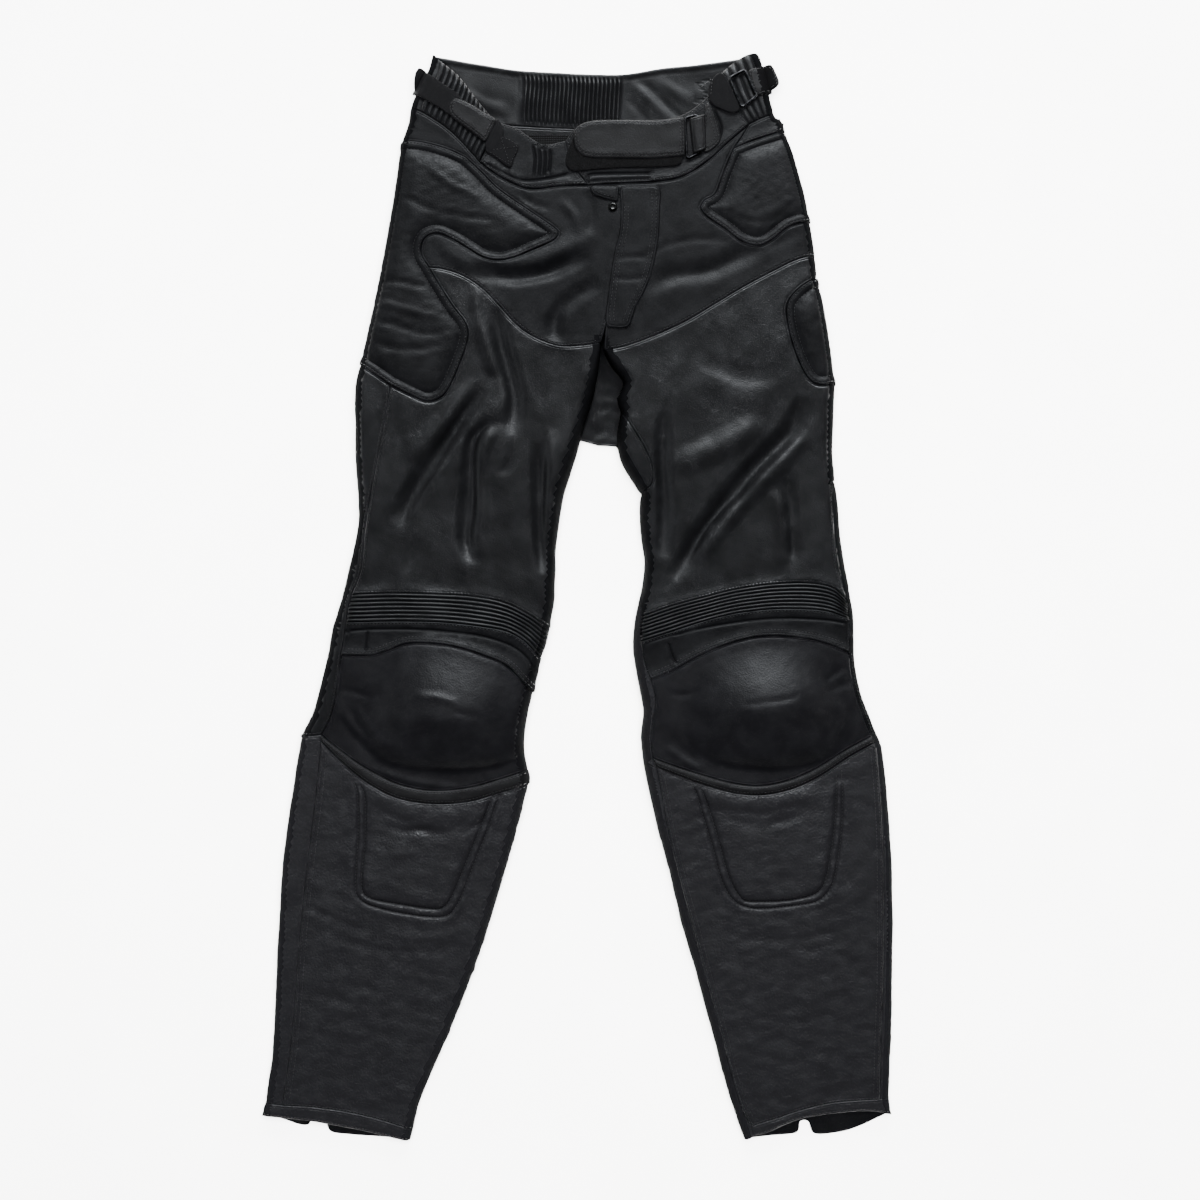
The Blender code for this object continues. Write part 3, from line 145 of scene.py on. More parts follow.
# Seams between panels, left to right or top to bottom
SEAMS = {
    "band_top_left": ((433, 57), (441, 65), (460, 81), (480, 107), (497, 127)),
    "band_front_left": ((497, 127), (517, 133), (530, 142), (545, 150), (566, 146)),
    "band_end_left": ((497, 127), (490, 148), (481, 167)),
    "band_close_left": ((566, 146), (572, 168), (588, 190)),
    "side_foot_left": ((411, 112), (430, 121), (455, 139), (481, 167)),
    "band_foot_left": ((481, 167), (500, 181), (520, 191), (536, 194), (560, 191), (588, 190)),
    "pad_head_left": ((402, 146), (425, 148), (450, 155), (467, 163)),
    "pad_tip_left": (
        (467, 163), (482, 177), (500, 195), (530, 216), (556, 234), (558, 240), (552, 246), (532, 255),
        (515, 262), (500, 265), (485, 262), (470, 253), (455, 244), (440, 238), (429, 241), (424, 249),
        (424, 260), (431, 272),
    ),
    "pad_foot_left": (
        (431, 272), (441, 289), (455, 311), (466, 325), (470, 337), (467, 352), (458, 376), (449, 394),
        (440, 402), (429, 404), (416, 399), (394, 388),
    ),
    "pad_hem_left": ((394, 388), (378, 377), (361, 366)),
    "yoke_left": (
        (431, 272), (447, 274), (466, 281), (483, 292), (498, 307), (512, 323), (527, 336), (544, 345),
        (562, 350), (584, 349), (601, 346),
    ),
    "centre": CENTRE + ((601, 346),),
    "centre_right": CENTRE + ((604, 354),),
    "strip_left": ((394, 388), (390, 412), (384, 446), (376, 487), (369, 530), (365, 570), (356, 594)),
    "strip_knee_left": ((350, 622), (347, 640), (345, 654)),
    "strip_ribs_left": ((356, 594), (352, 608), (350, 622)),
    "strip_cup_left": ((345, 654), (342, 675), (338, 703), (332, 721), (325, 733)),
    "strip_end_left": ((303, 735), (325, 733)),
    "ribs_top_left": (
        (356, 594), (400, 593), (445, 594), (482, 597), (508, 603), (530, 614), (550, 628),
    ),
    "ribs_foot_left": (
        (350, 622), (400, 621), (445, 622), (482, 626), (508, 631), (527, 642), (541, 658),
    ),
    "band_foot_knee_left": (
        (345, 654), (375, 654), (392, 649), (408, 643), (428, 642), (455, 645), (485, 654), (510, 666),
        (533, 692),
    ),
    "border_top_left": (
        (325, 733), (341, 746), (360, 760), (382, 773), (405, 783), (435, 788), (470, 785), (500, 777),
        (528, 768),
    ),
    "border_foot_left": (
        (325, 740), (338, 753), (357, 770), (378, 785), (402, 796), (435, 801), (470, 799), (502, 790),
        (529, 782),
    ),
    "shin_strip_left": (
        (325, 740), (322, 775), (318, 810), (311, 865), (303, 940), (297, 1015), (291, 1065),
        (285, 1101),
    ),
    "hem_strip_left": ((267, 1099), (285, 1101)),
    "hem_top_left": ((285, 1101), (315, 1103), (345, 1107), (380, 1115), (414, 1126)),
    "hem_front_left": ((264, 1112), (285, 1114), (312, 1117), (340, 1122), (370, 1128), (411, 1138)),
    "band_top_right": (
        (566, 146), (576, 133), (592, 126), (622, 125), (655, 125), (682, 120), (708, 100), (720, 78),
    ),
    "side_top_right": ((720, 78), (732, 68), (745, 60), (757, 57)),
    "band_end_right": ((720, 78), (729, 100), (739, 118), (747, 130)),
    "side_foot_right": ((747, 130), (759, 124), (773, 119)),
    "band_foot_right": (
        (588, 190), (625, 188), (660, 186), (682, 181), (705, 167), (726, 148), (747, 130),
    ),
    "yoke_foot_right": ((732, 154), (745, 148), (762, 142), (784, 135)),
    "yoke_side_right": ((747, 130), (740, 142), (732, 154)),
    "pad_front_right": ((732, 154), (722, 178), (714, 199), (703, 206), (699, 213)),
    "pad_tip_right": (
        (699, 213), (705, 221), (724, 234), (740, 246), (757, 250), (770, 244), (787, 231), (809, 225),
    ),
    "yoke_right": (
        (604, 354), (625, 350), (655, 339), (685, 325), (712, 309), (740, 292), (770, 276), (795, 264),
        (814, 260),
    ),
    "pad_low_right": (
        (816, 281), (803, 288), (792, 297), (785, 307), (784, 320), (789, 345), (798, 369), (807, 383),
        (818, 388), (834, 385),
    ),
    "strip_head_right": ((833, 482), (829, 483)),
    "strip_right": ((829, 483), (830, 520), (832, 556), (838, 585), (845, 603)),
    "strip_ribs_right": ((845, 603), (846, 612), (846, 619)),
    "strip_knee_right": ((846, 619), (846, 637), (846, 652)),
    "strip_cup_right": ((846, 652), (848, 672), (853, 692), (860, 713), (868, 734)),
    "strip_end_right": ((868, 734), (874, 740), (880, 744)),
    "ribs_top_right": (
        (641, 616), (670, 606), (702, 597), (735, 589), (770, 584), (805, 583), (830, 588), (845, 603),
    ),
    "ribs_foot_right": (
        (640, 641), (668, 632), (702, 621), (735, 613), (770, 609), (805, 609), (828, 612), (846, 619),
    ),
    "band_foot_knee_right": (
        (650, 678), (672, 669), (695, 656), (720, 645), (748, 637), (775, 635), (805, 638), (828, 644),
        (846, 652),
    ),
    "border_top_right": (
        (652, 756), (680, 766), (706, 774), (733, 781), (760, 783), (788, 777), (815, 765), (842, 748),
        (868, 734),
    ),
    "border_foot_right": (
        (656, 765), (682, 775), (708, 784), (735, 791), (762, 792), (790, 786), (818, 773), (845, 755),
        (872, 740),
    ),
    "inner_thigh_right": ((638, 603), (641, 609), (641, 616)),
    "inner_ribs_right": ((641, 616), (639, 628), (640, 641)),
    "inner_band_right": ((640, 641), (643, 659), (650, 678)),
    "inner_cup_right": ((650, 678), (655, 700), (652, 719), (650, 736), (652, 756)),
    "inner_shin_right": (
        (656, 765), (662, 798), (670, 840), (681, 884), (693, 928), (706, 978), (718, 1022),
        (730, 1070), (739, 1100), (750, 1122),
    ),
    "inner_hem_right": ((750, 1122), (753, 1132)),
    "inner_foot_right": ((744, 1138), (753, 1132)),
    "shin_strip_right": (
        (872, 740), (876, 785), (879, 835), (880, 900), (880, 970), (878, 1040), (877, 1095),
    ),
    "hem_strip_right": ((877, 1095), (888, 1094)),
    "hem_top_right": ((750, 1122), (775, 1114), (802, 1105), (835, 1098), (877, 1095)),
    "hem_front_right": (
        (753, 1132), (768, 1128), (783, 1121), (803, 1114), (836, 1109), (868, 1107), (890, 1111),
    ),
    "fold_right": ((621, 414), (633, 432), (645, 452), (652, 470), (651, 485), (641, 495)),
    "fork_head": ((601, 346), (604, 354)),
    "crotch_left": ((580, 441), (598, 446)),
    "crotch_right": ((598, 446), (617, 447)),
    "back_band_top": (
        (433, 57), (475, 64), (520, 71), (575, 74), (622, 75), (660, 69), (700, 65), (757, 57),
    ),
    "back_band_foot_left": ((411, 112), (460, 121), (522, 127), (592, 130)),
    "back_band_foot_right": ((592, 130), (640, 128), (700, 123), (773, 119)),
    "back_centre": ((592, 130), (594, 280), (598, 446)),
    "back_hem_left": (
        (264, 1112), (285, 1119), (300, 1124), (309, 1124), (313, 1117), (325, 1119), (331, 1131),
        (352, 1134), (380, 1136), (411, 1138),
    ),
    "back_hem_right": (
        (744, 1138), (770, 1135), (796, 1132), (800, 1121), (808, 1121), (814, 1133), (836, 1132),
        (858, 1126), (890, 1111),
    ),
}
SIDES = {
    "outer_left": OUTER_LEFT,
    "inner_left": INNER_LEFT,
    "outer_right": OUTER_RIGHT,
    "inner_right": INNER_RIGHT,
}
LINES = dict(SEAMS)
for side_name, stretches in SIDES.items():
    for stretch_name, stretch_points in stretches.items():
        LINES[f"{side_name}.{stretch_name}"] = stretch_points
print(len(LINES), "lines on the board")

# %% [markdown]
# The curves are Catmull-Rom splines: they pass through every point given, so a seam is corrected by
# moving one point. They are sampled every 3 mm, fine enough for a smooth outline in the picture.

# %% Curves through points
OUTLINE_STEP = 3.0
SPLINE_STEPS = 8


def spline(knots):
    """A Catmull-Rom curve from the second knot to the last but one."""
    t = np.linspace(0, 1, SPLINE_STEPS + 1)[:-1, None]
    curve = []
    for a, b, c, d in zip(knots, knots[1:], knots[2:], knots[3:]):
        curve.append(
            b + 0.5 * t * (c - a) + t**2 * (a - 2.5 * b + 2 * c - 0.5 * d)
            + t**3 * (1.5 * (b - c) + 0.5 * (d - a))
        )
    return np.vstack(curve + [knots[-2:-1]])


def lengths(run):
    """How far along a run each of its points lies."""
    return np.concatenate([[0], np.cumsum(np.linalg.norm(np.diff(run, axis=0), axis=1))])


def points_at(run, distances):
    """The points at these distances along a run."""
    length = lengths(run)
    return np.column_stack([np.interp(distances, length, run[:, axis]) for axis in (0, 1)])


def along(points, fractions):
    """Points at these fractions of the length of a curve through the given points."""
    knots = np.asarray(points, float)
    curve = spline(np.vstack([2 * knots[0] - knots[1], knots, 2 * knots[-1] - knots[-2]]))
    return points_at(curve, np.asarray(fractions) * lengths(curve)[-1])


def smooth_loop(knots, step):
    """A closed smooth outline through points, in equal steps."""
    knots = np.array(knots, float)
    curve = spline(np.vstack([knots[-1:], knots, knots[:2]]))
    whole = lengths(curve)[-1]
    return points_at(curve, np.linspace(0, whole, round(whole / step) + 1)[:-1])


def hump(distance, width):
    """A rounded hump over a distance: 1 at 0, and nearly 0 at twice the width."""
    return np.exp(-((distance / width) ** 2))


def measured(points):
    """The length of a run of points."""
    return float(np.linalg.norm(np.diff(np.asarray(points, float), axis=0), axis=1).sum())


def sampled(points, step):
    """A curve through points, cut into equal steps of about this length."""
    steps = max(1, round(measured(points) / step))
    return along(points, np.linspace(0, 1, steps + 1))


SAMPLED = {}


def line(name):
    """The fine points of a named line, backwards after a minus sign."""
    if name.startswith("-"):
        return line(name[1:])[::-1]
    if name not in SAMPLED:
        SAMPLED[name] = sampled(LINES[name], OUTLINE_STEP)
    return SAMPLED[name]


def square_to(run):
    """A direction square to a run of points at each of them."""
    ahead = np.gradient(run, axis=0)
    ahead /= np.maximum(np.linalg.norm(ahead, axis=1, keepdims=True), 1e-9)
    return np.column_stack([-ahead[:, 1], ahead[:, 0]])


def nearest(points, run):
    """Distance from each point to a run, how far along it that is, and the direction away."""
    if len(points) > 3000:
        parts = [nearest(part, run) for part in np.array_split(points, len(points) // 3000 + 1)]
        return tuple(np.concatenate(group) for group in zip(*parts))
    a, b = run[:-1], run[1:]
    span = b - a
    squared = np.maximum((span**2).sum(axis=1), 1e-12)
    offset = points[:, None, :] - a[None]
    t = np.clip((offset * span[None]).sum(axis=2) / squared, 0, 1)
    gap = offset - t[..., None] * span[None]
    best = (gap**2).sum(axis=2).argmin(axis=1)
    rows = np.arange(len(points))
    gap = gap[rows, best]
    share = t[rows, best]
    length = np.concatenate([[0], np.cumsum(np.sqrt(squared))])
    fraction = (length[best] + share * np.sqrt(squared[best])) / length[-1]
    square = square_to(run)
    away = (1 - share)[:, None] * square[best] + share[:, None] * square[best + 1]
    away *= np.where((gap * away).sum(axis=1) < 0, -1, 1)[:, None]
    away /= np.maximum(np.linalg.norm(away, axis=1, keepdims=True), 1e-9)
    return np.linalg.norm(gap, axis=1), fraction, away


def inside(points, outline):
    """Whether each point is inside a closed outline."""
    if len(points) > 8000:
        return np.concatenate([inside(part, outline) for part in np.array_split(points, 8)])
    a, b = outline, np.roll(outline, -1, axis=0)
    x, y = points[:, 0:1], points[:, 1:2]
    spans = (a[:, 1] > y) != (b[:, 1] > y)
    rise = np.where(b[:, 1] == a[:, 1], 1e-9, b[:, 1] - a[:, 1])
    crossing = a[:, 0] + (y - a[:, 1]) * (b[:, 0] - a[:, 0]) / rise
    return (spans & (x < crossing)).sum(axis=1) % 2 == 1


def from_edge(points, outline):
    """The distance from each point to a closed outline."""
    return nearest(points, np.vstack([outline, outline[:1]]))[0]


def side_run(side_name):
    """The whole of one side, top to bottom."""
    runs = [line(f"{side_name}.{part}") for part in SIDES[side_name]]
    return np.vstack([run[:-1] for run in runs] + [runs[-1][-1:]])


ALL_SIDES = [side_run(name)[::2] for name in SIDES]
OUTER_SIDES = [side_run("outer_left")[::2], side_run("outer_right")[::2]]
INNER_SIDES = [
    np.vstack([line(f"inner_left.{part}") for part in list(INNER_LEFT)[1:]])[::2],
    np.vstack([line(f"inner_right.{part}") for part in list(INNER_RIGHT)[2:]])[::2],
]
print("sides", [round(measured(run)) for run in ALL_SIDES], "mm")

# %% [markdown]
# ## The body under the leather
#
# Leather this thick doesn't lie like paper: it keeps a rounded tube, rolled over at its sides, with a
# moulded dome over each knee. One height function of the board gives all of it, so the panels need no
# fitting to each other. The first table is the solid's own. Folds that the solids have too come
# next: each is a soft ridge or trough along a route that fades out at both ends.

# %% The height of the leather
LEATHER = 1.5
SEAM_GAP = 0.3
SIDE_SEAM_HEIGHT = 5.0
UNDER_ROLL = 5.0
KNEE_DOME = 23.0
CUP_SOFTNESS = (1.9, 0.9)
FORK = (602.0, 348.0)
FORK_REACH = 45.0
FORK_PINCH = 0.15
# Down the garment: board y, height of the leather over the floor, radius of its rolled side
BODY = (
    (57, 16, 6),
    (110, 20, 8),
    (160, 22, 9),
    (220, 25, 10),
    (330, 28, 11),
    (450, 29, 11),
    (560, 27, 10),
    (640, 26, 10),
    (780, 25, 9),
    (900, 22, 9),
    (1020, 19, 8),
    (1140, 14, 7),
)

# The cup over each knee: centre, half width, and how far it reaches up and down. It is soft above and
# steep below
CUPS = (
    ((449, 716), 94, 88, 54),
    ((765, 708), 90, 76, 60),
)
CUP_SQUARENESS = (1.6, 2.4)
CUP_ROUNDNESS = 2.2
CUP_TURN = 1.2

# Folds: half width, rise (a trough is negative) and the line each one follows
FOLDS = (
    (17, 3.2, ((446, 252), (480, 268), (520, 270), (560, 257), (600, 238))),
    (12, -4.2, ((470, 272), (510, 281), (550, 276), (590, 258))),
    (12, -4.6, ((600, 285), (575, 300), (556, 322), (556, 345))),
    (13, -5.4, ((497, 312), (504, 350), (512, 378), (517, 405), (512, 440))),
    (14, -6.0, ((492, 372), (464, 420), (440, 455), (416, 492), (398, 525))),
    (13, -6.6, ((508, 418), (478, 440), (472, 490), (468, 545), (478, 566))),
    (11, -5.0, ((538, 445), (541, 500), (543, 575))),
    (15, -7.2, ((802, 400), (788, 435), (752, 472), (720, 508), (694, 545), (672, 580))),
    (11, -5.0, ((664, 415), (662, 460), (665, 510), (661, 560))),
    (16, -2.4, ((640, 296), (668, 280), (704, 276), (736, 262), (764, 254))),
    (13, -4.0, ((782, 470), (787, 520), (789, 570))),
    (11, 1.6, ((372, 790), (410, 808), (450, 812), (492, 803))),
    (11, -1.6, ((372, 806), (410, 824), (450, 828), (492, 816))),
    (11, 1.6, ((690, 785), (730, 799), (770, 800), (820, 784))),
    (11, -1.6, ((700, 800), (740, 813), (780, 813), (826, 800))),
)


ROUTE_STEPS = 12
FADE_SHARE = 0.3


def swell(points, half_width, rise, route):
    """A soft ridge along a route, or a trough where the rise is negative."""
    route = np.array(route, float)
    low, high = route.min(axis=0) - half_width - 4, route.max(axis=0) + half_width + 4
    close = ((points > low) & (points < high)).all(axis=1)
    lift = np.zeros(len(points))
    if close.any():
        distance, fraction, _ = nearest(points[close], along(route, np.linspace(0, 1, ROUTE_STEPS + 1)))
        across = np.cos(np.clip(distance / half_width, 0, 1) * math.pi / 2) ** 2
        ends = np.clip(np.minimum(fraction, 1 - fraction) / FADE_SHARE, 0, 1)
        lift[close] = rise * across * ends * (2 - ends)
    return lift


def body_height(points):
    """The height of the leather over the floor, away from its rolled sides."""
    table = np.array(BODY, float)
    height = np.interp(points[:, 1], table[:, 0], table[:, 1])
    for (x, y), half_width, up, down in CUPS:
        low = np.clip((points[:, 1] - y) / down * CUP_TURN, 0, 1)
        low = low * low * (3 - 2 * low)
        square = CUP_SQUARENESS[0] + (CUP_SQUARENESS[1] - CUP_SQUARENESS[0]) * low
        half_length = np.where(points[:, 1] < y, up, down)
        reach = np.abs((points[:, 0] - x) / half_width) ** CUP_ROUNDNESS
        reach = reach + np.abs((points[:, 1] - y) / half_length) ** square
        steepness = CUP_SOFTNESS[0] + (CUP_SOFTNESS[1] - CUP_SOFTNESS[0]) * low
        height += KNEE_DOME * np.clip(1 - reach, 0, 1) ** steepness
    for half_width, rise, route in FOLDS:
        height += swell(points, half_width, rise, route)
    return height


def body_slope(points):
    """How fast the body's height changes in x and y."""
    slope = []
    for shift in ((1.0, 0), (0, 1.0)):
        ahead = body_height(points + np.array(shift))
        behind = body_height(points - np.array(shift))
        slope.append((ahead - behind) / 2)
    return np.column_stack(slope)


def side_distance(points, runs):
    """The distance to the nearest side, and the direction away from it."""
    found = [nearest(points, run) for run in runs]
    distances = np.array([distance for distance, _, _ in found])
    away = np.array([direction for _, _, direction in found])
    best = distances.argmin(axis=0)
    rows = np.arange(len(points))
    return distances[best, rows], away[best, rows]


def upright(flat, lift):
    """Unit directions from their parts on the board and over it."""
    whole = np.column_stack([flat, lift])
    return whole / np.maximum(np.linalg.norm(whole, axis=1, keepdims=True), 1e-9)


def roll(points, runs, radius):
    """The sine and cosine of the angle a rolled side has turned through, and the way in."""
    distance, way_in = side_distance(points, runs)
    cosine = 1 - np.clip((distance - SEAM_GAP / 2) / radius, 0, 1)
    return np.sqrt(np.maximum(1 - cosine**2, 0)), cosine, way_in


def front_skin(points):
    """Height and outward direction of the uppermost leather."""
    table = np.array(BODY, float)
    radius = np.interp(points[:, 1], table[:, 0], table[:, 2])
    from_fork = np.linalg.norm(points - np.array(FORK), axis=1)
    radius = radius * np.clip(from_fork / FORK_REACH, FORK_PINCH, 1)
    sine, cosine, way_in = roll(points, ALL_SIDES, radius)
    rise = body_height(points) - SIDE_SEAM_HEIGHT
    normal = -(rise * cosine / radius)[:, None] * way_in - (sine**2)[:, None] * body_slope(points)
    return SIDE_SEAM_HEIGHT + rise * sine, upright(normal, sine)


def turned_up(points, runs):
    """Height and outward direction of leather on the floor that turns up at these sides."""
    sine, cosine, way_in = roll(points, runs, UNDER_ROLL)
    return (SIDE_SEAM_HEIGHT - SEAM_GAP) * (1 - sine), upright(-cosine[:, None] * way_in, -sine)


def back_skin(points):
    """The back of the legs."""
    return turned_up(points, OUTER_SIDES + INNER_SIDES)


def seat_skin(points):
    """The back over the hips."""
    return turned_up(points, OUTER_SIDES)


print("height on a knee", body_height(np.array([[450.0, 700.0]])).round(1), "mm")

# %% [markdown]
# ## Creases and unevenness
#
# The largest folds are in the solids. The smaller creases are placed here, read off the photo one by
# one, because the eye knows at once when folds are scattered by a formula. Between them leather is
# never quite even, so a few slow waves of random direction are added over everything. Their seed is
# fixed, so each run gives the same leather.

# %% Creases, listed one by one: half width, rise and route
CREASES = (
    (9, -1.4, ((481, 267), (512, 279), (551, 273), (588, 250))),
    (10, 1.0, ((440, 244), (453, 261), (478, 276))),
    (10, 1.8, ((595, 282), (578, 295), (567, 307), (560, 324))),
    (8, -2.2, ((494, 308), (503, 346), (514, 390), (514, 412), (508, 436))),
    (10, 2.4, ((478, 286), (480, 320), (490, 356), (496, 380))),
    (14, 3.8, ((490, 378), (472, 396), (454, 417), (433, 442), (411, 466))),
    (7, -2.4, ((481, 394), (462, 419), (439, 461), (417, 498), (401, 533))),
    (7, -2.8, ((499, 420), (474, 440), (471, 470), (469, 504), (466, 541), (476, 564))),
    (12, 2.8, ((510, 394), (495, 424), (480, 463), (483, 514), (481, 541), (492, 560))),
    (8, -2.4, ((528, 400), (528, 424), (514, 462), (499, 478))),
    (7, -2.0, ((540, 420), (541, 463), (539, 525), (546, 588))),
    (11, 2.6, ((552, 430), (553, 470), (549, 510), (547, 545))),
    (8, -1.3, ((418, 535), (414, 556), (407, 574))),
    (7, -3.0, ((799, 396), (788, 424), (766, 449), (734, 490), (706, 524), (688, 554), (661, 592))),
    (19, 3.0, ((762, 421), (740, 437), (701, 457), (660, 472))),
    (14, 3.8, ((804, 434), (780, 460), (731, 514), (692, 560))),
    (7, -2.2, ((669, 398), (661, 436), (663, 484), (662, 531))),
    (12, 2.8, ((775, 490), (782, 520), (784, 548), (781, 568))),
    (6, -1.6, ((788, 527), (790, 560))),
    (22, 1.5, ((700, 372), (722, 392), (748, 402), (776, 398))),
    (14, -1.2, ((690, 356), (722, 374), (756, 380), (790, 372))),
    (9, -1.0, ((650, 295), (676, 279), (712, 274), (742, 259), (782, 244), (806, 234))),
    (5, -0.9, ((640, 262), (672, 248), (704, 244), (734, 248))),
    (5, -0.8, ((612, 265), (630, 262), (650, 263))),
    (5, -0.9, ((609, 282), (628, 284), (649, 281))),
    (6, -1.3, ((370, 322), (398, 330), (428, 338), (456, 334))),
    (6, -1.2, ((367, 342), (394, 352), (424, 353), (450, 345))),
    (6, 1.2, ((378, 305), (408, 314), (440, 322))),
    (6, -1.0, ((378, 286), (404, 287), (432, 293))),
    (6, -1.1, ((404, 200), (430, 214), (462, 222), (500, 226))),
    (6, 1.0, ((430, 172), (452, 190), (486, 206))),
    (5, -1.0, ((722, 214), (744, 226), (768, 226), (796, 206))),
    (5, -1.5, ((342, 688), (362, 692), (382, 698))),
    (6, 1.5, ((418, 693), (440, 695), (462, 701))),
    (5, -1.7, ((456, 708), (472, 712), (489, 717))),
    (4, -1.2, ((738, 702), (766, 699), (796, 694))),
    (5, -1.9, ((820, 692), (835, 685), (855, 681))),
    (5, -1.6, ((822, 680), (835, 670), (844, 664))),
    (7, 1.6, ((356, 700), (372, 724), (392, 746))),
    (6, -1.5, ((342, 716), (358, 736), (380, 757))),
    (6, -1.4, ((662, 720), (676, 744), (700, 762))),
    (5, -1.3, ((664, 690), (682, 694), (700, 688))),
    (6, -1.0, ((330, 930), (370, 944), (420, 948), (470, 940))),
    (6, -0.8, ((318, 990), (360, 1000), (410, 998))),
    (6, -1.0, ((704, 920), (750, 936), (806, 934), (862, 920))),
    (6, -0.8, ((740, 1010), (786, 1018), (840, 1010))),
    (5, 1.5, ((384, 812), (404, 822), (428, 820), (446, 826))),
    (4, -1.4, ((380, 820), (402, 829), (424, 827), (440, 833))),
    (5, 1.0, ((372, 846), (396, 852), (420, 846))),
    (5, 1.3, ((466, 824), (480, 812), (492, 806))),
    (4, -1.2, ((462, 832), (476, 824), (490, 818))),
    (5, 1.3, ((716, 806), (742, 814), (772, 812), (800, 804))),
    (4, -1.3, ((722, 815), (748, 823), (778, 820), (806, 812))),
    (5, 1.5, ((352, 754), (372, 766), (404, 776), (440, 783), (474, 786), (514, 777))),
    (5, 1.4, ((680, 772), (712, 779), (744, 786), (780, 782), (812, 770), (836, 756))),
    (6, 1.4, ((345, 706), (356, 724), (370, 742))),
    (6, 1.5, ((664, 744), (680, 756), (702, 770))),
    (6, 1.3, ((838, 700), (836, 722), (822, 746))),
    (5, -1.2, ((300, 900), (330, 912), (356, 924), (380, 928))),
    (6, 1.1, ((378, 924), (412, 934), (452, 930), (480, 918))),
    (6, -1.2, ((588, 196), (592, 216), (590, 240))),
    (6, 1.4, ((560, 206), (574, 220), (580, 240))),
    (5, -1.2, ((520, 200), (532, 208), (552, 214))),
)


def waves(points, shortest, longest, seed, squeeze=(1.0, 1.0), count=14):
    """Slow random waves between two lengths in millimetres, from about -1 to 1."""
    chance = np.random.default_rng(seed)
    total = np.zeros(len(points))
    for _ in range(count):
        length = shortest * (longest / shortest) ** chance.random()
        angle = chance.random() * math.pi
        along_x, along_y = math.cos(angle) / squeeze[0], math.sin(angle) / squeeze[1]
        phase = chance.random() * 2 * math.pi
        across = points[:, 0] * along_x + points[:, 1] * along_y
        total += np.sin(across * 2 * math.pi / length + phase)
    return total / math.sqrt(count)


def creases(points, uneven=1.0):
    """The small creases and the unevenness of a panel's leather."""
    lift = sum(swell(points, *crease) for crease in CREASES)
    legs = np.clip((points[:, 1] - 330) / 90, 0, 1) * np.clip((640 - points[:, 1]) / 60, 0, 1)
    slow = (0.35 + 0.75 * legs) * waves(points, 45, 120, 3, (1.0, 1.8))
    return lift + uneven * (slow + 0.22 * waves(points, 16, 40, 5) + 0.1 * waves(points, 6, 14, 8))


print(len(CREASES), "creases by hand")

# %% [markdown]
# ## Cutting a panel
#
# A panel could be modelled as a grid, but its outline is free, so it is cut as a tailor cuts it: the
# outline is drawn, points are spread inside, and Delaunay's triangulation joins them. The rows
# next to the outline lie close together, because that is where leather rolls over an edge.

# %% Cut an outline into fine triangles
EDGE_ROWS = (0.45, 1.3, 2.8, 4.8)
SPACING = 3.4


def turn(outline):
    """Twice the signed area of a closed outline on the board."""
    ahead = np.roll(outline, -1, axis=0)
    return float((outline[:, 0] * ahead[:, 1] - outline[:, 1] * ahead[:, 0]).sum())


def inset(outline, distance):
    """A closed outline moved inwards."""
    ahead = np.roll(outline, -1, axis=0) - outline
    ahead /= np.maximum(np.linalg.norm(ahead, axis=1, keepdims=True), 1e-9)
    sign = 1 if turn(outline) > 0 else -1
    normal = sign * np.column_stack([-ahead[:, 1], ahead[:, 0]])
    before = np.roll(normal, 1, axis=0)
    size = np.maximum(1 + (normal * before).sum(axis=1), 0.25)
    return outline + (normal + before) * (distance / size)[:, None]


def hexagons(outline, spacing):
    """Points of a triangular lattice over the box of an outline."""
    low, high = outline.min(axis=0), outline.max(axis=0)
    rows = []
    for row, y in enumerate(np.arange(low[1], high[1], spacing * math.sqrt(3) / 2)):
        x = np.arange(low[0] + (row % 2) * spacing / 2, high[0], spacing)
        rows.append(np.column_stack([x, np.full(len(x), y)]))
    return np.vstack(rows)


def cut(outline, spacing=SPACING, rows=EDGE_ROWS, drawn=(), offsets=(0,)):
    """Points and triangles inside a closed outline, with close rows along its edge and along the
    lines drawn on it."""
    chosen = [outline]
    for depth in rows:
        row = inset(outline, depth)
        row = row[inside(row, outline)]
        if len(row):
            chosen.append(row[from_edge(row, outline) > 0.9 * depth])
    lattice = hexagons(outline, spacing)
    lattice = lattice[inside(lattice, outline)]
    deepest = rows[-1] if rows else 0
    if len(lattice):
        lattice = lattice[from_edge(lattice, outline) > deepest + 0.5 * spacing]
    for route in drawn:
        run = sampled(route, 2.2)
        square = square_to(run)
        beside = np.vstack([run + square * offset for offset in offsets])
        beside = beside[inside(beside, outline)]
        if len(beside):
            chosen.append(beside[from_edge(beside, outline) > deepest + 0.8])
        if len(lattice):
            lattice = lattice[nearest(lattice, run)[0] > abs(offsets[-1]) + 0.5 * spacing]
    chosen = np.vstack(chosen + [lattice])
    faces = [list(range(len(outline)))]
    result = delaunay_2d_cdt([Vector(point) for point in chosen], [], faces, 1, 1e-5)
    points = np.array([tuple(point) for point in result[0]])
    return points, np.array([tuple(face) for face in result[2]], int)


def to_metres(points, height):
    """Board points with a height, as places in the frame."""
    return np.column_stack([
        (points[:, 0] - BOARD_CENTRE[0]) * MM, (BOARD_CENTRE[1] - points[:, 1]) * MM, height * MM
    ])


# %% [markdown]
# A sheet of leather is a closed shell: an upper and a lower surface over one cut, joined by a rim. Each
# point keeps its distance to the nearest sewn edge as an attribute, and the leather's shader reads that
# to press the seam in and to wear the edge. A second attribute says how deep it lies in a sewn groove
# or between ribs; the shader presses it in there and paints shade into it, a painted darkening.
# The last 8 mm of a side, which are seen edge on, get the dull variant of the same hide.

# %% Build a closed shell
RIM_REACH = 30.0
TURNED_OVER = 8.0


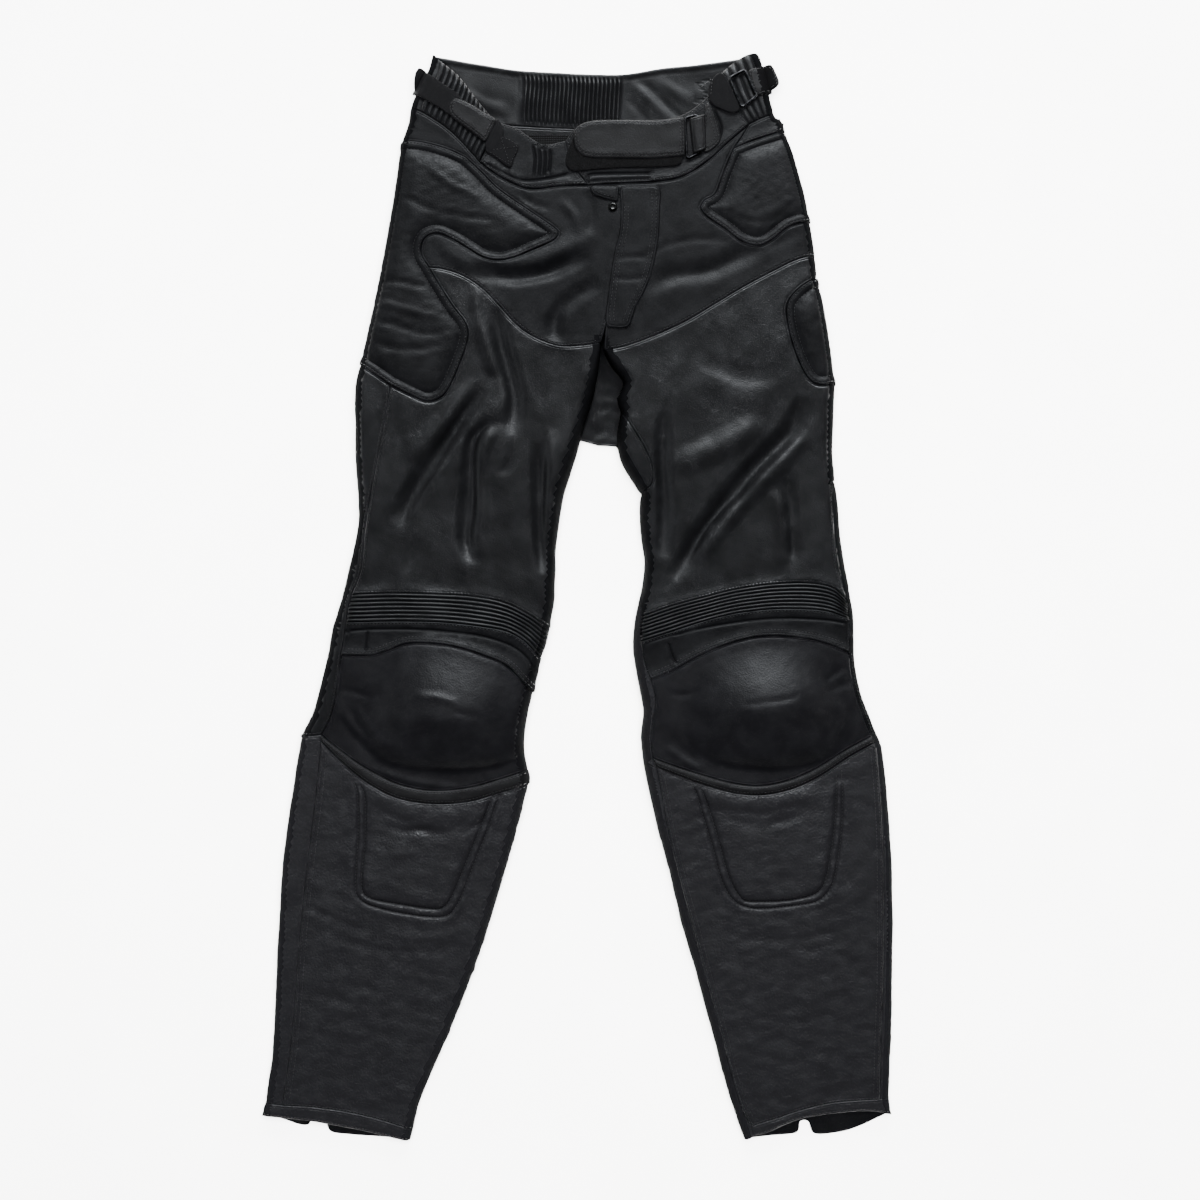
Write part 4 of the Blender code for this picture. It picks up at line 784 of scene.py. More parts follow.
def new_mesh(name, places, faces, finish, smooth=True, side=None, **measures):
    """A new object from places in metres, with its finish, which is dull near the sides."""
    mesh = bpy.data.meshes.new(name)
    mesh.from_pydata(places, [], faces)
    mesh.materials.append(finish)
    for label, values in measures.items():
        mesh.attributes.new(label, "FLOAT", "POINT").data.foreach_set("value", values)
    if side is not None and finish.name in TURNED:
        mesh.materials.append(TURNED[finish.name])
        steep = side[np.asarray(faces)].mean(axis=1) < TURNED_OVER
        mesh.polygons.foreach_set("material_index", steep.astype(np.int32))
    if smooth:
        mesh.shade_smooth()
    mesh.update()
    made = bpy.data.objects.new(name, mesh)
    bpy.context.collection.objects.link(made)
    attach(made, "root")
    return made


def shell(name, points, faces, skin, low, high, finish, edge=RIM_REACH, groove_and_shade=0):
    """A closed sheet between two heights over a skin."""
    used, faces = np.unique(faces, return_inverse=True)
    faces = faces.reshape(-1, 3)
    points = points[used]
    low, high, edge, groove_and_shade = (
        np.full(len(points), float(value)) if np.ndim(value) == 0 else np.asarray(value)[used]
        for value in (low, high, edge, groove_and_shade)
    )
    height, normal = skin(points)
    whole = np.column_stack([points, height])
    outer, inner = whole + normal * high[:, None], whole + normal * low[:, None]
    a, b, c = (points[faces[:, k]] for k in range(3))
    counted = (b - a)[:, 0] * (c - a)[:, 1] - (b - a)[:, 1] * (c - a)[:, 0] > 0
    flip = counted == (normal[:, 2].mean() > 0)
    faces = np.where(flip[:, None], faces[:, [0, 2, 1]], faces)
    count = len(points)
    edges = np.vstack([faces[:, [0, 1]], faces[:, [1, 2]], faces[:, [2, 0]]])
    keys = edges[:, 0] * count + edges[:, 1]
    free = edges[~np.isin(keys, edges[:, 1] * count + edges[:, 0])]
    rim = np.vstack([
        np.column_stack([free[:, 1], free[:, 0], free[:, 0] + count]),
        np.column_stack([free[:, 1], free[:, 0] + count, free[:, 1] + count]),
    ])
    solid = np.vstack([faces, faces[:, ::-1] + count, rim])
    everything = np.vstack([outer, inner])
    places = to_metres(everything[:, :2], everything[:, 2])
    # The second attribute presses grooves in and also carries painted shade into them.
    measures = {"edge": edge, "groove_and_shade": groove_and_shade}
    if skin is front_skin:
        measures["side"] = side_distance(points, ALL_SIDES)[0]
    measures = {label: np.concatenate([values, values]) for label, values in measures.items()}
    return new_mesh(name, places, solid, finish, **measures)


# %% [markdown]
# ## Finishes
#
# All the leather is one hide finish, black and satin, but it doesn't look the same everywhere: it is
# smoother where it is stretched over pads, pebbled on the shins, and grey along sewn edges. The shared
# effects are shader groups with named inputs: the grain, the sewn edge, dust, and a weave. Sizes of
# grain, seams and threads are given in millimetres, so they are the same wherever a group is used.

# %% Small helpers for shader nodes
def start_group(name, inputs, outputs):
    """A shader group with these number or vector inputs and number outputs."""
    tree = bpy.data.node_groups.new(name, "ShaderNodeTree")
    for label, kind, value in inputs:
        socket = tree.interface.new_socket(name=label, in_out="INPUT", socket_type=kind)
        if kind == "NodeSocketFloat":
            socket.default_value = value
    for label in outputs:
        tree.interface.new_socket(name=label, in_out="OUTPUT", socket_type="NodeSocketFloat")
    return tree, tree.nodes.new("NodeGroupInput"), tree.nodes.new("NodeGroupOutput")


def feed(tree, node, inputs):
    """Link or set a node's inputs, each called by its label, or by i and its number."""
    for label, value in inputs.items():
        key = int(label[1:]) if label[1:].isdigit() else label.replace("_", " ")
        if isinstance(value, bpy.types.NodeSocket):
            tree.links.new(value, node.inputs[key])
        else:
            node.inputs[key].default_value = value


def put(tree, kind, settings=(), **inputs):
    """A node with its settings and its inputs."""
    made = tree.nodes.new("ShaderNode" + kind)
    for label, value in dict(settings).items():
        setattr(made, label, value)
    feed(tree, made, inputs)
    return made


def scaled(tree, vector, factor):
    """A vector times a number."""
    return put(tree, "VectorMath", {"operation": "SCALE"}, Vector=vector, Scale=factor).outputs[0]


def noise(tree, vector, **settings):
    """The grey value of a noise texture."""
    return put(tree, "TexNoise", Vector=vector, **settings).outputs["Fac"]


def sums(tree, operation, a, b=0.0, c=0.0, clamp=False):
    """The result of a Math node."""
    made = put(tree, "Math", {"operation": operation, "use_clamp": clamp}, i0=a, i1=b, i2=c)
    return made.outputs[0]


def span(tree, value, low, high, to_low=0.0, to_high=1.0):
    """A value mapped from one range to another, smoothly."""
    made = put(tree, "MapRange", {"interpolation_type": "SMOOTHSTEP"}, Value=value,
               From_Min=low, From_Max=high, To_Min=to_low, To_Max=to_high)
    return made.outputs["Result"]


# %% [markdown]
# Leather grain is a net of small cushions with valleys between, which Voronoi cells give once a slow
# noise has bent them. Over it lie hair-thin crease lines, where a ridged noise crosses its own middle.

# %% The grain group
def make_grain():
    tree, given, result = start_group(
        "leather grain",
        [("Vector", "NodeSocketVector", None), ("Cell size", "NodeSocketFloat", 1.5),
         ("Depth", "NodeSocketFloat", 0.1), ("Creases", "NodeSocketFloat", 0.15)],
        ["Height", "Valley", "Patches"],
    )
    mm = scaled(tree, given.outputs["Vector"], 1000.0)
    cells = scaled(tree, mm, sums(tree, "DIVIDE", 1.0, given.outputs["Cell size"]))
    bend = put(tree, "TexNoise", Vector=cells, Scale=0.5, Detail=2.0).outputs["Color"]
    bent = put(tree, "VectorMath", {"operation": "ADD"}, i0=cells, i1=scaled(tree, bend, 1.4))
    bent = bent.outputs[0]
    pebbles = put(tree, "TexVoronoi", {"feature": "SMOOTH_F1"}, Vector=bent, Scale=1.0,
                  Smoothness=0.35).outputs["Distance"]
    pores = noise(tree, mm, Scale=2.6, Detail=2.0)
    slow = noise(tree, mm, Scale=0.055, Detail=3.0, Roughness=0.55)
    veins = noise(tree, mm, Scale=0.075, Detail=5.0, Roughness=0.6, Distortion=0.6)
    off_middle = sums(tree, "ABSOLUTE", sums(tree, "SUBTRACT", veins, 0.5))
    line_mask = span(tree, off_middle, 0.0, 0.018, 1.0, 0.0)
    line_mask = sums(tree, "MULTIPLY", line_mask, span(tree, slow, 0.42, 0.62))
    cushion = sums(tree, "SUBTRACT", 1.0, pebbles)
    height = sums(tree, "MULTIPLY", cushion, given.outputs["Depth"])
    height = sums(tree, "MULTIPLY_ADD", pores, 0.05, height)
    cut_in = sums(tree, "MULTIPLY", line_mask, given.outputs["Creases"])
    height = sums(tree, "SUBTRACT", height, cut_in)
    feed(tree, result, {"Height": height, "Valley": span(tree, pebbles, 0.35, 0.8),
                        "Patches": span(tree, slow, 0.35, 0.68)})
    return tree


# %% [markdown]
# At a seam the leather is folded under and sewn. Its edge drops, each row of stitches pulls a shallow
# groove beside it, and handling rubs the fold grey. The group reads the distance to the edge in mm.

# %% The sewn edge group
def make_sewn_edge():
    tree, given, result = start_group(
        "sewn edge",
        [("Vector", "NodeSocketVector", None), ("Distance", "NodeSocketFloat", 30.0),
         ("First row", "NodeSocketFloat", 2.2), ("Second row", "NodeSocketFloat", 6.0),
         ("Pucker", "NodeSocketFloat", 0.2)],
        ["Height", "Wear"],
    )
    distance = given.outputs["Distance"]
    height = span(tree, distance, 0.0, 1.0, -0.25, 0.0)
    for row in ("First row", "Second row"):
        off = sums(tree, "ABSOLUTE", sums(tree, "SUBTRACT", distance, given.outputs[row]))
        height = sums(tree, "ADD", height, span(tree, off, 0.0, 0.9, -0.22, 0.0))
    pull = noise(tree, given.outputs["Vector"], Scale=150.0, Detail=2.0)
    near = span(tree, distance, 0.5, 11.0, 1.0, 0.0)
    pull = sums(tree, "MULTIPLY", sums(tree, "MULTIPLY", pull, near), given.outputs["Pucker"])
    height = sums(tree, "MULTIPLY_ADD", pull, 3.0, height)
    patchy = noise(tree, given.outputs["Vector"], Scale=60.0, Detail=3.0)
    fold = span(tree, distance, 0.3, 2.0, 1.0, 0.0)
    rub = sums(tree, "MULTIPLY", fold, span(tree, patchy, 0.4, 0.7))
    feed(tree, result, {"Height": height, "Wear": rub})
    return tree


# %% [markdown]
# Dust settles unevenly, so its mask is a slow noise times a fine one. Webbing is woven from ribs along
# and across: two sine waves at right angles, offset by half a thread, give its rows of small humps. The
# hollows between the humps come out as a mask, and the woven finishes paint shade with it: painted
# shade, darker between the threads.

# %% The dust and weave groups
def make_dust():
    tree, given, result = start_group(
        "dust", [("Vector", "NodeSocketVector", None), ("Amount", "NodeSocketFloat", 0.2)], ["Mask"]
    )
    slow = noise(tree, given.outputs["Vector"], Scale=14.0, Detail=3.0)
    fine = noise(tree, given.outputs["Vector"], Scale=900.0, Detail=1.0)
    mask = sums(tree, "MULTIPLY", span(tree, slow, 0.45, 0.75), span(tree, fine, 0.45, 0.8))
    feed(tree, result, {"Mask": sums(tree, "MULTIPLY", mask, given.outputs["Amount"])})
    return tree


def make_weave():
    tree, given, result = start_group(
        "weave",
        [("Vector", "NodeSocketVector", None), ("Thread", "NodeSocketFloat", 1.0),
         ("Depth", "NodeSocketFloat", 0.2)],
        ["Height", "Hollow"],
    )
    per_metre = sums(tree, "DIVIDE", 3141.6, given.outputs["Thread"])
    parts = put(tree, "SeparateXYZ", Vector=scaled(tree, given.outputs["Vector"], per_metre))
    across = sums(tree, "ABSOLUTE", sums(tree, "SINE", parts.outputs["X"]))
    down = sums(tree, "ABSOLUTE", sums(tree, "SINE", parts.outputs["Y"]))
    bead = sums(tree, "MULTIPLY", across, down)
    # The hollows between the humps, which the finishes use to paint shade.
    feed(tree, result, {"Height": sums(tree, "MULTIPLY", bead, given.outputs["Depth"]),
                        "Hollow": sums(tree, "SUBTRACT", 1.0, bead)})
    return tree


GRAIN, SEWN_EDGE, DUST, WEAVE = make_grain(), make_sewn_edge(), make_dust(), make_weave()
print("groups:", ", ".join(tree.name for tree in bpy.data.node_groups))


# %% [markdown]
# A leather material places the groups with its own values. The grain's valleys are rougher than its
# cushions, sewn edges are greyer, grooves and rib valleys are painted darker as painted shade, and all
# the heights add up to one bump.

# %% The leather finishes
def use_group(tree, group, vector, **values):
    """A group placed in a material."""
    made = tree.nodes.new("ShaderNodeGroup")
    made.node_tree = group
    feed(tree, made, {"Vector": vector, **values})
    return made.outputs


def start_material(name):
    """A material with its shader, its tree and the place on the object."""
    made = bpy.data.materials.new(name)
    made.use_nodes = True
    tree = made.node_tree
    shader = tree.nodes["Principled BSDF"]
    place = put(tree, "TexCoord").outputs["Object"]
    return made, tree, shader, place


def blend(tree, share, first, second):
    """Two colours mixed by a mask."""
    made = put(tree, "Mix", {"data_type": "RGBA"}, i0=share, i6=(*first, 1), i7=(*second, 1))
    return made.outputs[2]


def dress(tree, shader, height=None, deep=0.001, **looks):
    """Link or set the shader's inputs, with a bump where there is a height."""
    if height is not None:
        bump = put(tree, "Bump", Height=height, Strength=1.0, Distance=deep)
        looks["Normal"] = bump.outputs["Normal"]
    feed(tree, shader, looks)


WEAR_GREY, PATCH_GREY = 0.3, 0.08
VALLEY_DULL, PATCH_DULL, GROOVE_DULL = 0.12, 0.04, 0.4
GROOVE_DEPTH = -0.8


def leather(name, black, grey, satin, gloss, cell, depth, lines, rows=(2.2, 99.0), dust=0.12):
    """A leather finish: two colours, roughness on a cushion, strength of its mirror, and grain."""
    made, tree, shader, place = start_material(name)
    grain = use_group(tree, GRAIN, place, Cell_size=cell, Depth=depth, Creases=lines)
    distance = put(tree, "Attribute", {"attribute_name": "edge"}).outputs["Fac"]
    edge = use_group(tree, SEWN_EDGE, place, Distance=distance, First_row=rows[0], Second_row=rows[1])
    fallen = use_group(tree, DUST, place, Amount=dust)["Mask"]
    wear_and_shade = sums(tree, "MULTIPLY_ADD", edge["Wear"], WEAR_GREY, fallen)
    wear_and_shade = sums(tree, "MULTIPLY_ADD", grain["Patches"], PATCH_GREY, wear_and_shade, clamp=True)
    # Painted shade: in sewn grooves and in the valleys between ribs the grey is taken out of the
    # colour, so they are painted darker.
    groove_and_shade = put(tree, "Attribute", {"attribute_name": "groove_and_shade"}).outputs["Fac"]
    wear_and_shade = sums(tree, "MULTIPLY", wear_and_shade, sums(tree, "SUBTRACT", 1.0, groove_and_shade, clamp=True))
    rough = sums(tree, "MULTIPLY_ADD", grain["Valley"], VALLEY_DULL, satin)
    rough = sums(tree, "MULTIPLY_ADD", grain["Patches"], PATCH_DULL, rough)
    rough = sums(tree, "MULTIPLY_ADD", groove_and_shade, GROOVE_DULL, rough)
    rough = sums(tree, "ADD", rough, fallen, clamp=True)
    height = sums(tree, "ADD", grain["Height"], edge["Height"])
    height = sums(tree, "MULTIPLY_ADD", groove_and_shade, GROOVE_DEPTH, height)
    dress(tree, shader, height, Base_Color=blend(tree, wear_and_shade, black, grey), Roughness=rough,
          Specular_IOR_Level=gloss)
    return made


BLACK, GREY = (0.0007, 0.00073, 0.00085), (0.0055, 0.0057, 0.0065)
HIDES = {
    "smooth": (BLACK, GREY, 0.37, 0.38, 1.4, 0.12, 0.07),
    "hip": (BLACK, GREY, 0.42, 0.14, 1.4, 0.13, 0.07),
    # The pebbled hide's black is lighter than the others: partly the grey of the coarser, duller
    # leather, partly painted light that brightens the shins.
    "pebbled": ((0.0018, 0.0018, 0.0021), (0.0055, 0.0057, 0.0064), 0.39, 0.32, 2.3, 0.5, 0.12),
    "pad": (BLACK, GREY, 0.42, 0.15, 1.8, 0.16, 0.07, (2.0, 7.6)),
    "cup": ((0.0009, 0.0009, 0.0011), GREY, 0.36, 0.17, 1.6, 0.14, 0.05, (2.0, 99.0)),
    "ribbed": (BLACK, GREY, 0.40, 0.26, 1.2, 0.08, 0.08, (99.0, 99.0)),
    "tab": ((0.0010, 0.0010, 0.0011), (0.0050, 0.0051, 0.0056), 0.42, 0.19, 1.4, 0.10, 0.06,
            (2.4, 99.0)),
    "seat": (BLACK, GREY, 0.42, 0.26, 1.9, 0.16, 0.18),
}
SMOOTH, HIP, PEBBLED, PAD, CUP, RIBBED, TAB, BACK = (
    leather(f"{name} leather", *hide) for name, hide in HIDES.items()
)
# The same hides where they have turned over at a side and are seen edge on: nearly no mirror is left
DULL = (0.95, 0.02)
TURNED = {
    f"{name} leather": leather(f"{name} leather turned over", *hide[:2], *DULL, *hide[4:])
    for name, hide in HIDES.items()
}
print(len(HIDES), "kinds of leather")


# %% [markdown]
# The other finishes are webbing and hook-and-loop, both matt; the open mesh of the lining; polyester
# thread, black with a little shine; and the wire and the press stud, dark plated metal.

# %% Webbing, pile, lining, thread and metal
def woven(name, dark, light, thread, depth, roughness):
    """A woven finish, with painted shade in the hollows between its threads."""
    made, tree, shader, place = start_material(name)
    cloth = use_group(tree, WEAVE, place, Thread=thread, Depth=depth)
    fallen = use_group(tree, DUST, place, Amount=0.3)["Mask"]
    # Painted shade: the colour goes dark in the hollows of the weave, and stays light on the threads
    # and where dust lies.
    share = sums(tree, "SUBTRACT", sums(tree, "ADD", 0.75, fallen), cloth["Hollow"], clamp=True)
    dress(tree, shader, cloth["Height"], Base_Color=blend(tree, share, dark, light),
          Roughness=roughness, Specular_IOR_Level=0.15)
    return made


WEBBING = woven("webbing", (0.0006, 0.0006, 0.0007), (0.0026, 0.0026, 0.0029), 1.1, 0.25, 0.85)
LINING = woven("lining mesh", (0.0004, 0.0004, 0.0004), (0.0022, 0.0022, 0.0024), 2.2, 0.5, 0.7)


def make_pile():
    made, tree, shader, place = start_material("hook and loop pile")
    fuzz = noise(tree, place, Scale=1400.0, Detail=3.0)
    colour = blend(tree, span(tree, fuzz, 0.4, 0.7), (0.0004, 0.0004, 0.0004), (0.0020, 0.0020, 0.0022))
    dress(tree, shader, fuzz, 0.0006, Base_Color=colour, Roughness=0.95, Specular_IOR_Level=0.1)
    return made


def make_thread():
    made, tree, shader, place = start_material("thread")
    twist = noise(tree, place, Scale=2500.0, Detail=1.0)
    colour = blend(tree, twist, (0.0004, 0.0004, 0.0005), (0.0022, 0.0022, 0.0024))
    dress(tree, shader, Base_Color=colour, Roughness=0.5)
    return made


def make_metal(name, dark, bright, roughness):
    made, tree, shader, place = start_material(name)
    scuff = noise(tree, place, Scale=300.0, Detail=4.0, Roughness=0.7)
    rough = span(tree, scuff, 0.3, 0.75, roughness - 0.08, roughness + 0.1)
    dress(tree, shader, Base_Color=blend(tree, span(tree, scuff, 0.35, 0.7), dark, bright),
          Roughness=rough, Metallic=1.0)
    return made


PILE, THREAD = make_pile(), make_thread()
WIRE = make_metal("plated wire", (0.012, 0.012, 0.013), (0.060, 0.060, 0.063), 0.42)
STUD = make_metal("press stud metal", (0.012, 0.012, 0.012), (0.06, 0.06, 0.058), 0.3)
print(len(bpy.data.materials), "materials")

# %% [markdown]
# ## The front panels
#
# Each panel is one entry: its node, its finish and the lines round it. The lift of its upper surface
# over the common skin is a sum: the folded edge, a hip pad or shin pad where there is one, a crown
# where the piece is a narrow rolled strip, and the panel that laps over its neighbour at a seam.

# %% Panels and the lines round them
FRONT_PANELS = (
    ("front_band_left", HIP,
     "band_end_left band_foot_left -band_close_left -band_front_left"),
    ("front_band_right", HIP,
     "band_close_left band_foot_right -band_end_right -band_top_right"),
    ("front_hip_left", HIP,
     "outer_left.yoke pad_head_left pad_tip_left yoke_left -centre -band_foot_left -side_foot_left"),
    ("front_hip_right", HIP,
     "centre_right yoke_right -outer_right.hollow -pad_tip_right -pad_front_right"
     " -yoke_side_right -band_foot_right"),
    ("side_yoke_right", HIP,
     "side_foot_right outer_right.yoke -yoke_foot_right -yoke_side_right"),
    ("hip_pad_left", PAD,
     "outer_left.pad -pad_hem_left -pad_foot_left -pad_tip_left -pad_head_left"),
    ("hip_pad_right_upper", PAD,
     "yoke_foot_right outer_right.pad_top -pad_tip_right -pad_front_right"),
    ("hip_pad_right_lower", PAD, "outer_right.pad_low -pad_low_right"),
    ("thigh_left", SMOOTH,
     "yoke_left inner_left.fork inner_left.thigh -ribs_top_left -strip_left -pad_foot_left"),
    ("thigh_right", SMOOTH,
     "yoke_right outer_right.notch pad_low_right outer_right.thigh strip_head_right strip_right"
     " -ribs_top_right -inner_thigh_right -inner_right.thigh -fold_right -inner_right.fork"),
    ("thigh_inner_right", SMOOTH, "fold_right -inner_right.bulge -inner_right.gusset"),
    ("side_strip_left", SMOOTH,
     "pad_hem_left outer_left.thigh strip_end_left -strip_cup_left -strip_knee_left"
     " -strip_ribs_left -strip_left"),
    ("side_strip_right", SMOOTH,
     "outer_right.strip -strip_end_right -strip_cup_right -strip_knee_right"
     " -strip_ribs_right -strip_right -strip_head_right"),
    ("knee_band_left", HIP,
     "ribs_foot_left inner_left.band -band_foot_knee_left -strip_knee_left"),
    ("knee_band_right", HIP,
     "ribs_foot_right strip_knee_right -band_foot_knee_right -inner_band_right"),
    ("knee_cup_left", CUP,
     "band_foot_knee_left inner_left.cup -border_top_left -strip_cup_left"),
    ("knee_cup_right", CUP,
     "band_foot_knee_right strip_cup_right -border_top_right -inner_cup_right"),
    ("knee_binding_left", TAB, "border_top_left inner_left.border -border_foot_left"),
    ("knee_binding_right", TAB, "border_top_right -border_foot_right"),
    ("shin_left", PEBBLED,
     "border_foot_left inner_left.shin -hem_top_left -shin_strip_left"),
    ("shin_right", PEBBLED,
     "border_foot_right shin_strip_right -hem_top_right -inner_shin_right"),
    ("shin_strip_left", PEBBLED,
     "outer_left.shin hem_strip_left -shin_strip_left -strip_end_left"),
    ("shin_strip_right", PEBBLED,
     "strip_end_right outer_right.shin -hem_strip_right -shin_strip_right"),
    ("inner_strip_right", PEBBLED,
     "inner_right.strip inner_foot_right -inner_hem_right -inner_shin_right"
     " -inner_cup_right -inner_band_right -inner_ribs_right -inner_thigh_right"),
    ("hem_left", PEBBLED,
     "outer_left.hem hem_front_left -inner_left.hem -hem_top_left -hem_strip_left"),
    ("hem_right", PEBBLED,
     "hem_top_right hem_strip_right outer_right.hem -hem_front_right -inner_hem_right"),
)
# The panel that lies on top at a seam, and how far its folded edge stands up
LAPS = {
    "pad_tip_left": ("hip_pad_left", 1.2), "pad_head_left": ("hip_pad_left", 1.0),
    "pad_foot_left": ("hip_pad_left", 1.3), "pad_hem_left": ("hip_pad_left", 1.0),
    "pad_front_right": ("hip_pad_right_upper", 1.2), "pad_tip_right": ("hip_pad_right_upper", 1.2),
    "yoke_foot_right": ("side_yoke_right", 0.8), "pad_low_right": ("hip_pad_right_lower", 1.3),
    "inner_shin_right": ("shin_right", 0.6),
}
for seam, panel, rise in (
    ("yoke", "front_hip", 0.25), ("band_foot", "front_band", 1.0), ("ribs_top", "thigh", 1.0),
    ("ribs_foot", "knee_band", 1.0), ("band_foot_knee", "knee_band", 1.9), ("strip", "thigh", 0.6),
    ("shin_strip", "shin", 0.6), ("border_foot", "knee_binding", 0.6),
):
    for side in ("left", "right"):
        LAPS[f"{seam}_{side}"] = (f"{panel}_{side}", rise)
# How far narrow strips are rolled up in their middle
CROWNS = {
    "knee_binding_left": 1.6, "knee_binding_right": 1.6, "hem_left": 0.1, "hem_right": 0.1,
    "front_band_left": 0.5, "front_band_right": 0.5, "inner_strip_right": 0.3,
}
PANEL_LINES = {name: lines for name, _, lines in FRONT_PANELS}
print(len(FRONT_PANELS), "front panels")

# %% [markdown]
# The shins carry a pad in the shape of a U, quilted between two rows of stitches. A row is pressed in,
# and the leather inside it swells up over the foam.

# %% Outlines of the quilted shin pads
SHIN_PADS = {
    "shin_left": (
        ((357, 779), (361, 793), (361, 837), (359, 867), (358.5, 887), (363, 896), (376, 902.5),
         (402, 909), (432, 913), (445, 913), (454, 908), (463, 893), (473, 867), (485, 837),
         (493.5, 814), (501, 792)),
        ((363, 782), (368, 795), (368, 837), (365, 867), (364.5, 884), (369, 892.5), (382, 897),
         (405, 901), (432, 905), (442, 905), (449.5, 899.5), (457, 886), (467, 861), (477, 837),
         (486, 814), (494, 794)),
    ),
    "shin_right": (
        ((690, 781), (696, 793), (702, 814), (711, 843), (718, 870), (725, 887), (733, 897.5),
         (743, 903), (759, 905), (782, 903), (809, 899.5), (821, 893), (829.5, 881), (834, 861),
         (838, 831), (839, 796), (838, 766)),
        ((699, 784), (705, 799), (714, 826), (721, 852), (728, 875), (736, 890), (743, 897),
         (756, 898), (782, 897), (806, 893), (818, 886), (824, 872), (828, 849), (832, 817),
         (833, 790), (833, 772)),
    ),
}
SHIN_SWELL = 2.4
# Sewn grooves on the bands over the knees, and the bars across their ends
GROOVES = {
    "knee_band_left": (
        ((349, 631), (375, 629), (421, 629), (459, 632), (487, 636.5), (512, 645), (528, 657),
         (537, 672)),
        ((371, 632), (370, 641), (369, 649)),
    ),
    "front_band_left": (
        ((534, 152), (536, 164), (535, 178)), ((539, 150), (541, 164), (540, 180)),
        ((544.5, 150), (546, 164), (545, 180)), ((550, 150), (551, 162), (550, 176)),
        ((489, 170), (505, 179), (525, 186), (548, 184), (566, 180)),
    ),
    "front_band_right": (
        ((588, 188.5), (588, 181), (600, 179.5), (648, 178.5)),
        ((648, 184.5), (600, 186), (588, 188.5)), ((714, 118), (720, 134), (716, 148)),
    ),
    "knee_band_right": (
        ((646, 643), (662, 637), (680, 633), (700, 628), (732, 622.5), (760, 619), (788, 618),
         (825, 620), (845, 624)),
        ((668, 644), (671, 654), (675, 663)),
    ),
}


def in_groove(name, points):
    """How deep a point lies in a drawn line, from 0 to 1."""
    depth = np.zeros(len(points))
    for route in SHIN_PADS.get(name, ()) + GROOVES.get(name, ()):
        distance, _, _ = nearest(points, sampled(route, 4))
        depth = np.maximum(depth, hump(distance, 1.0))
    if name in SHIN_PADS:
        depth *= np.clip((points[:, 1] - 780) / 8, 0, 1)
    return depth


def groove_lift(name, points):
    """Sewn grooves, with the leather raised a little at both sides."""
    lift = np.zeros(len(points))
    for route in GROOVES.get(name, ()):
        distance, _, _ = nearest(points, sampled(route, 4))
        lift += 0.45 * hump(distance - 2.2, 1.5) - 0.9 * hump(distance, 1.1)
    return lift


def shin_pad_lift(name, points):
    """The foam under a quilted U, with its two pressed-in rows."""
    outer, inner = (sampled(route, 4) for route in SHIN_PADS[name])
    from_inner, _, _ = nearest(points, inner)
    from_outer, _, _ = nearest(points, outer)
    within = inside(points, inner)
    rise = np.clip(from_inner / 8, 0, 1)
    lift = np.where(within, SHIN_SWELL * rise * (2 - rise), 0)
    between = inside(points, outer) & ~within
    lift = lift + 1.0 * between * np.clip(np.minimum(from_inner, from_outer) / 2.4, 0, 1)
    outside = ~within & ~between
    lift = lift + 1.0 * outside * hump(from_outer - 3.5, 3.0)
    rows = hump(from_inner, 1.2) + hump(from_outer, 1.2)
    foot = np.clip(points[:, 1] - 778, 0, 16) / 16
    return (lift - 1.2 * rows) * foot


# %% [markdown]
# The hip pads have a flat border of 8 mm, sewn at both sides, and the foam rises inside it.

# %% The lift of a panel's upper surface
BORDER_WIDTH = 8.0
PAD_ROW = 7.6
PAD_THICKNESS = 3.4
PAD_SHOULDER = 16.0
PAD_SIDE_REACH = 20.0
LAP_REACH = 5.5
SINK_REACH = 3.0
SINK_SHARE = 0.45
FOLD_DROP = 0.25
FOLD_REACH = 0.8


def joined(runs, apart=0.05):
    """A closed outline of runs that follow each other, moved in by half a seam's gap."""
    points = []
    for run, following in zip(runs, runs[1:] + runs[:1]):
        points.append(run if np.linalg.norm(run[-1] - following[0]) > apart else run[:-1])
    return inset(np.vstack(points), SEAM_GAP / 2)


def panel_outline(name):
    """The closed outline of a panel."""
    return joined([line(part) for part in PANEL_LINES[name].split()])


def seam_distance(name, points):
    """The distance to the nearest sewn line of a panel."""
    seams = [part.strip("-") for part in PANEL_LINES[name].split() if "." not in part]
    return np.min([nearest(points, line(seam))[0] for seam in seams], axis=0) - SEAM_GAP / 2


def lap_lift(name, points):
    """The folded edge that stands up where this panel lies on its neighbour."""
    lift = np.zeros(len(points))
    for part in PANEL_LINES[name].split():
        on_top, rise = LAPS.get(part.strip("-"), ("", 0))
        distance, _, _ = nearest(points, line(part.strip("-")))
        if on_top == name:
            lift += rise * hump(distance, LAP_REACH)
        elif rise:
            lift -= SINK_SHARE * rise * hump(distance, SINK_REACH)
    return lift


# Fine wrinkles: their rise, shortest and longest, and how much they are drawn out across and down
WRINKLES = {
    "hip_pad_left": (0.17, 6.5, 12, (2.6, 1.0)),
    "hip_pad_right_upper": (0.15, 6.5, 12, (1.2, 1.0)),
    "hip_pad_right_lower": (0.15, 6.5, 12, (2.0, 1.0)),
    "shin_left": (0.4, 9, 34, (1.7, 1.0)),
    "shin_right": (0.4, 9, 34, (1.7, 1.0)),
    "knee_cup_left": (0.06, 9, 20, (1.0, 1.0)),
    "knee_cup_right": (0.06, 9, 20, (1.0, 1.0)),
}


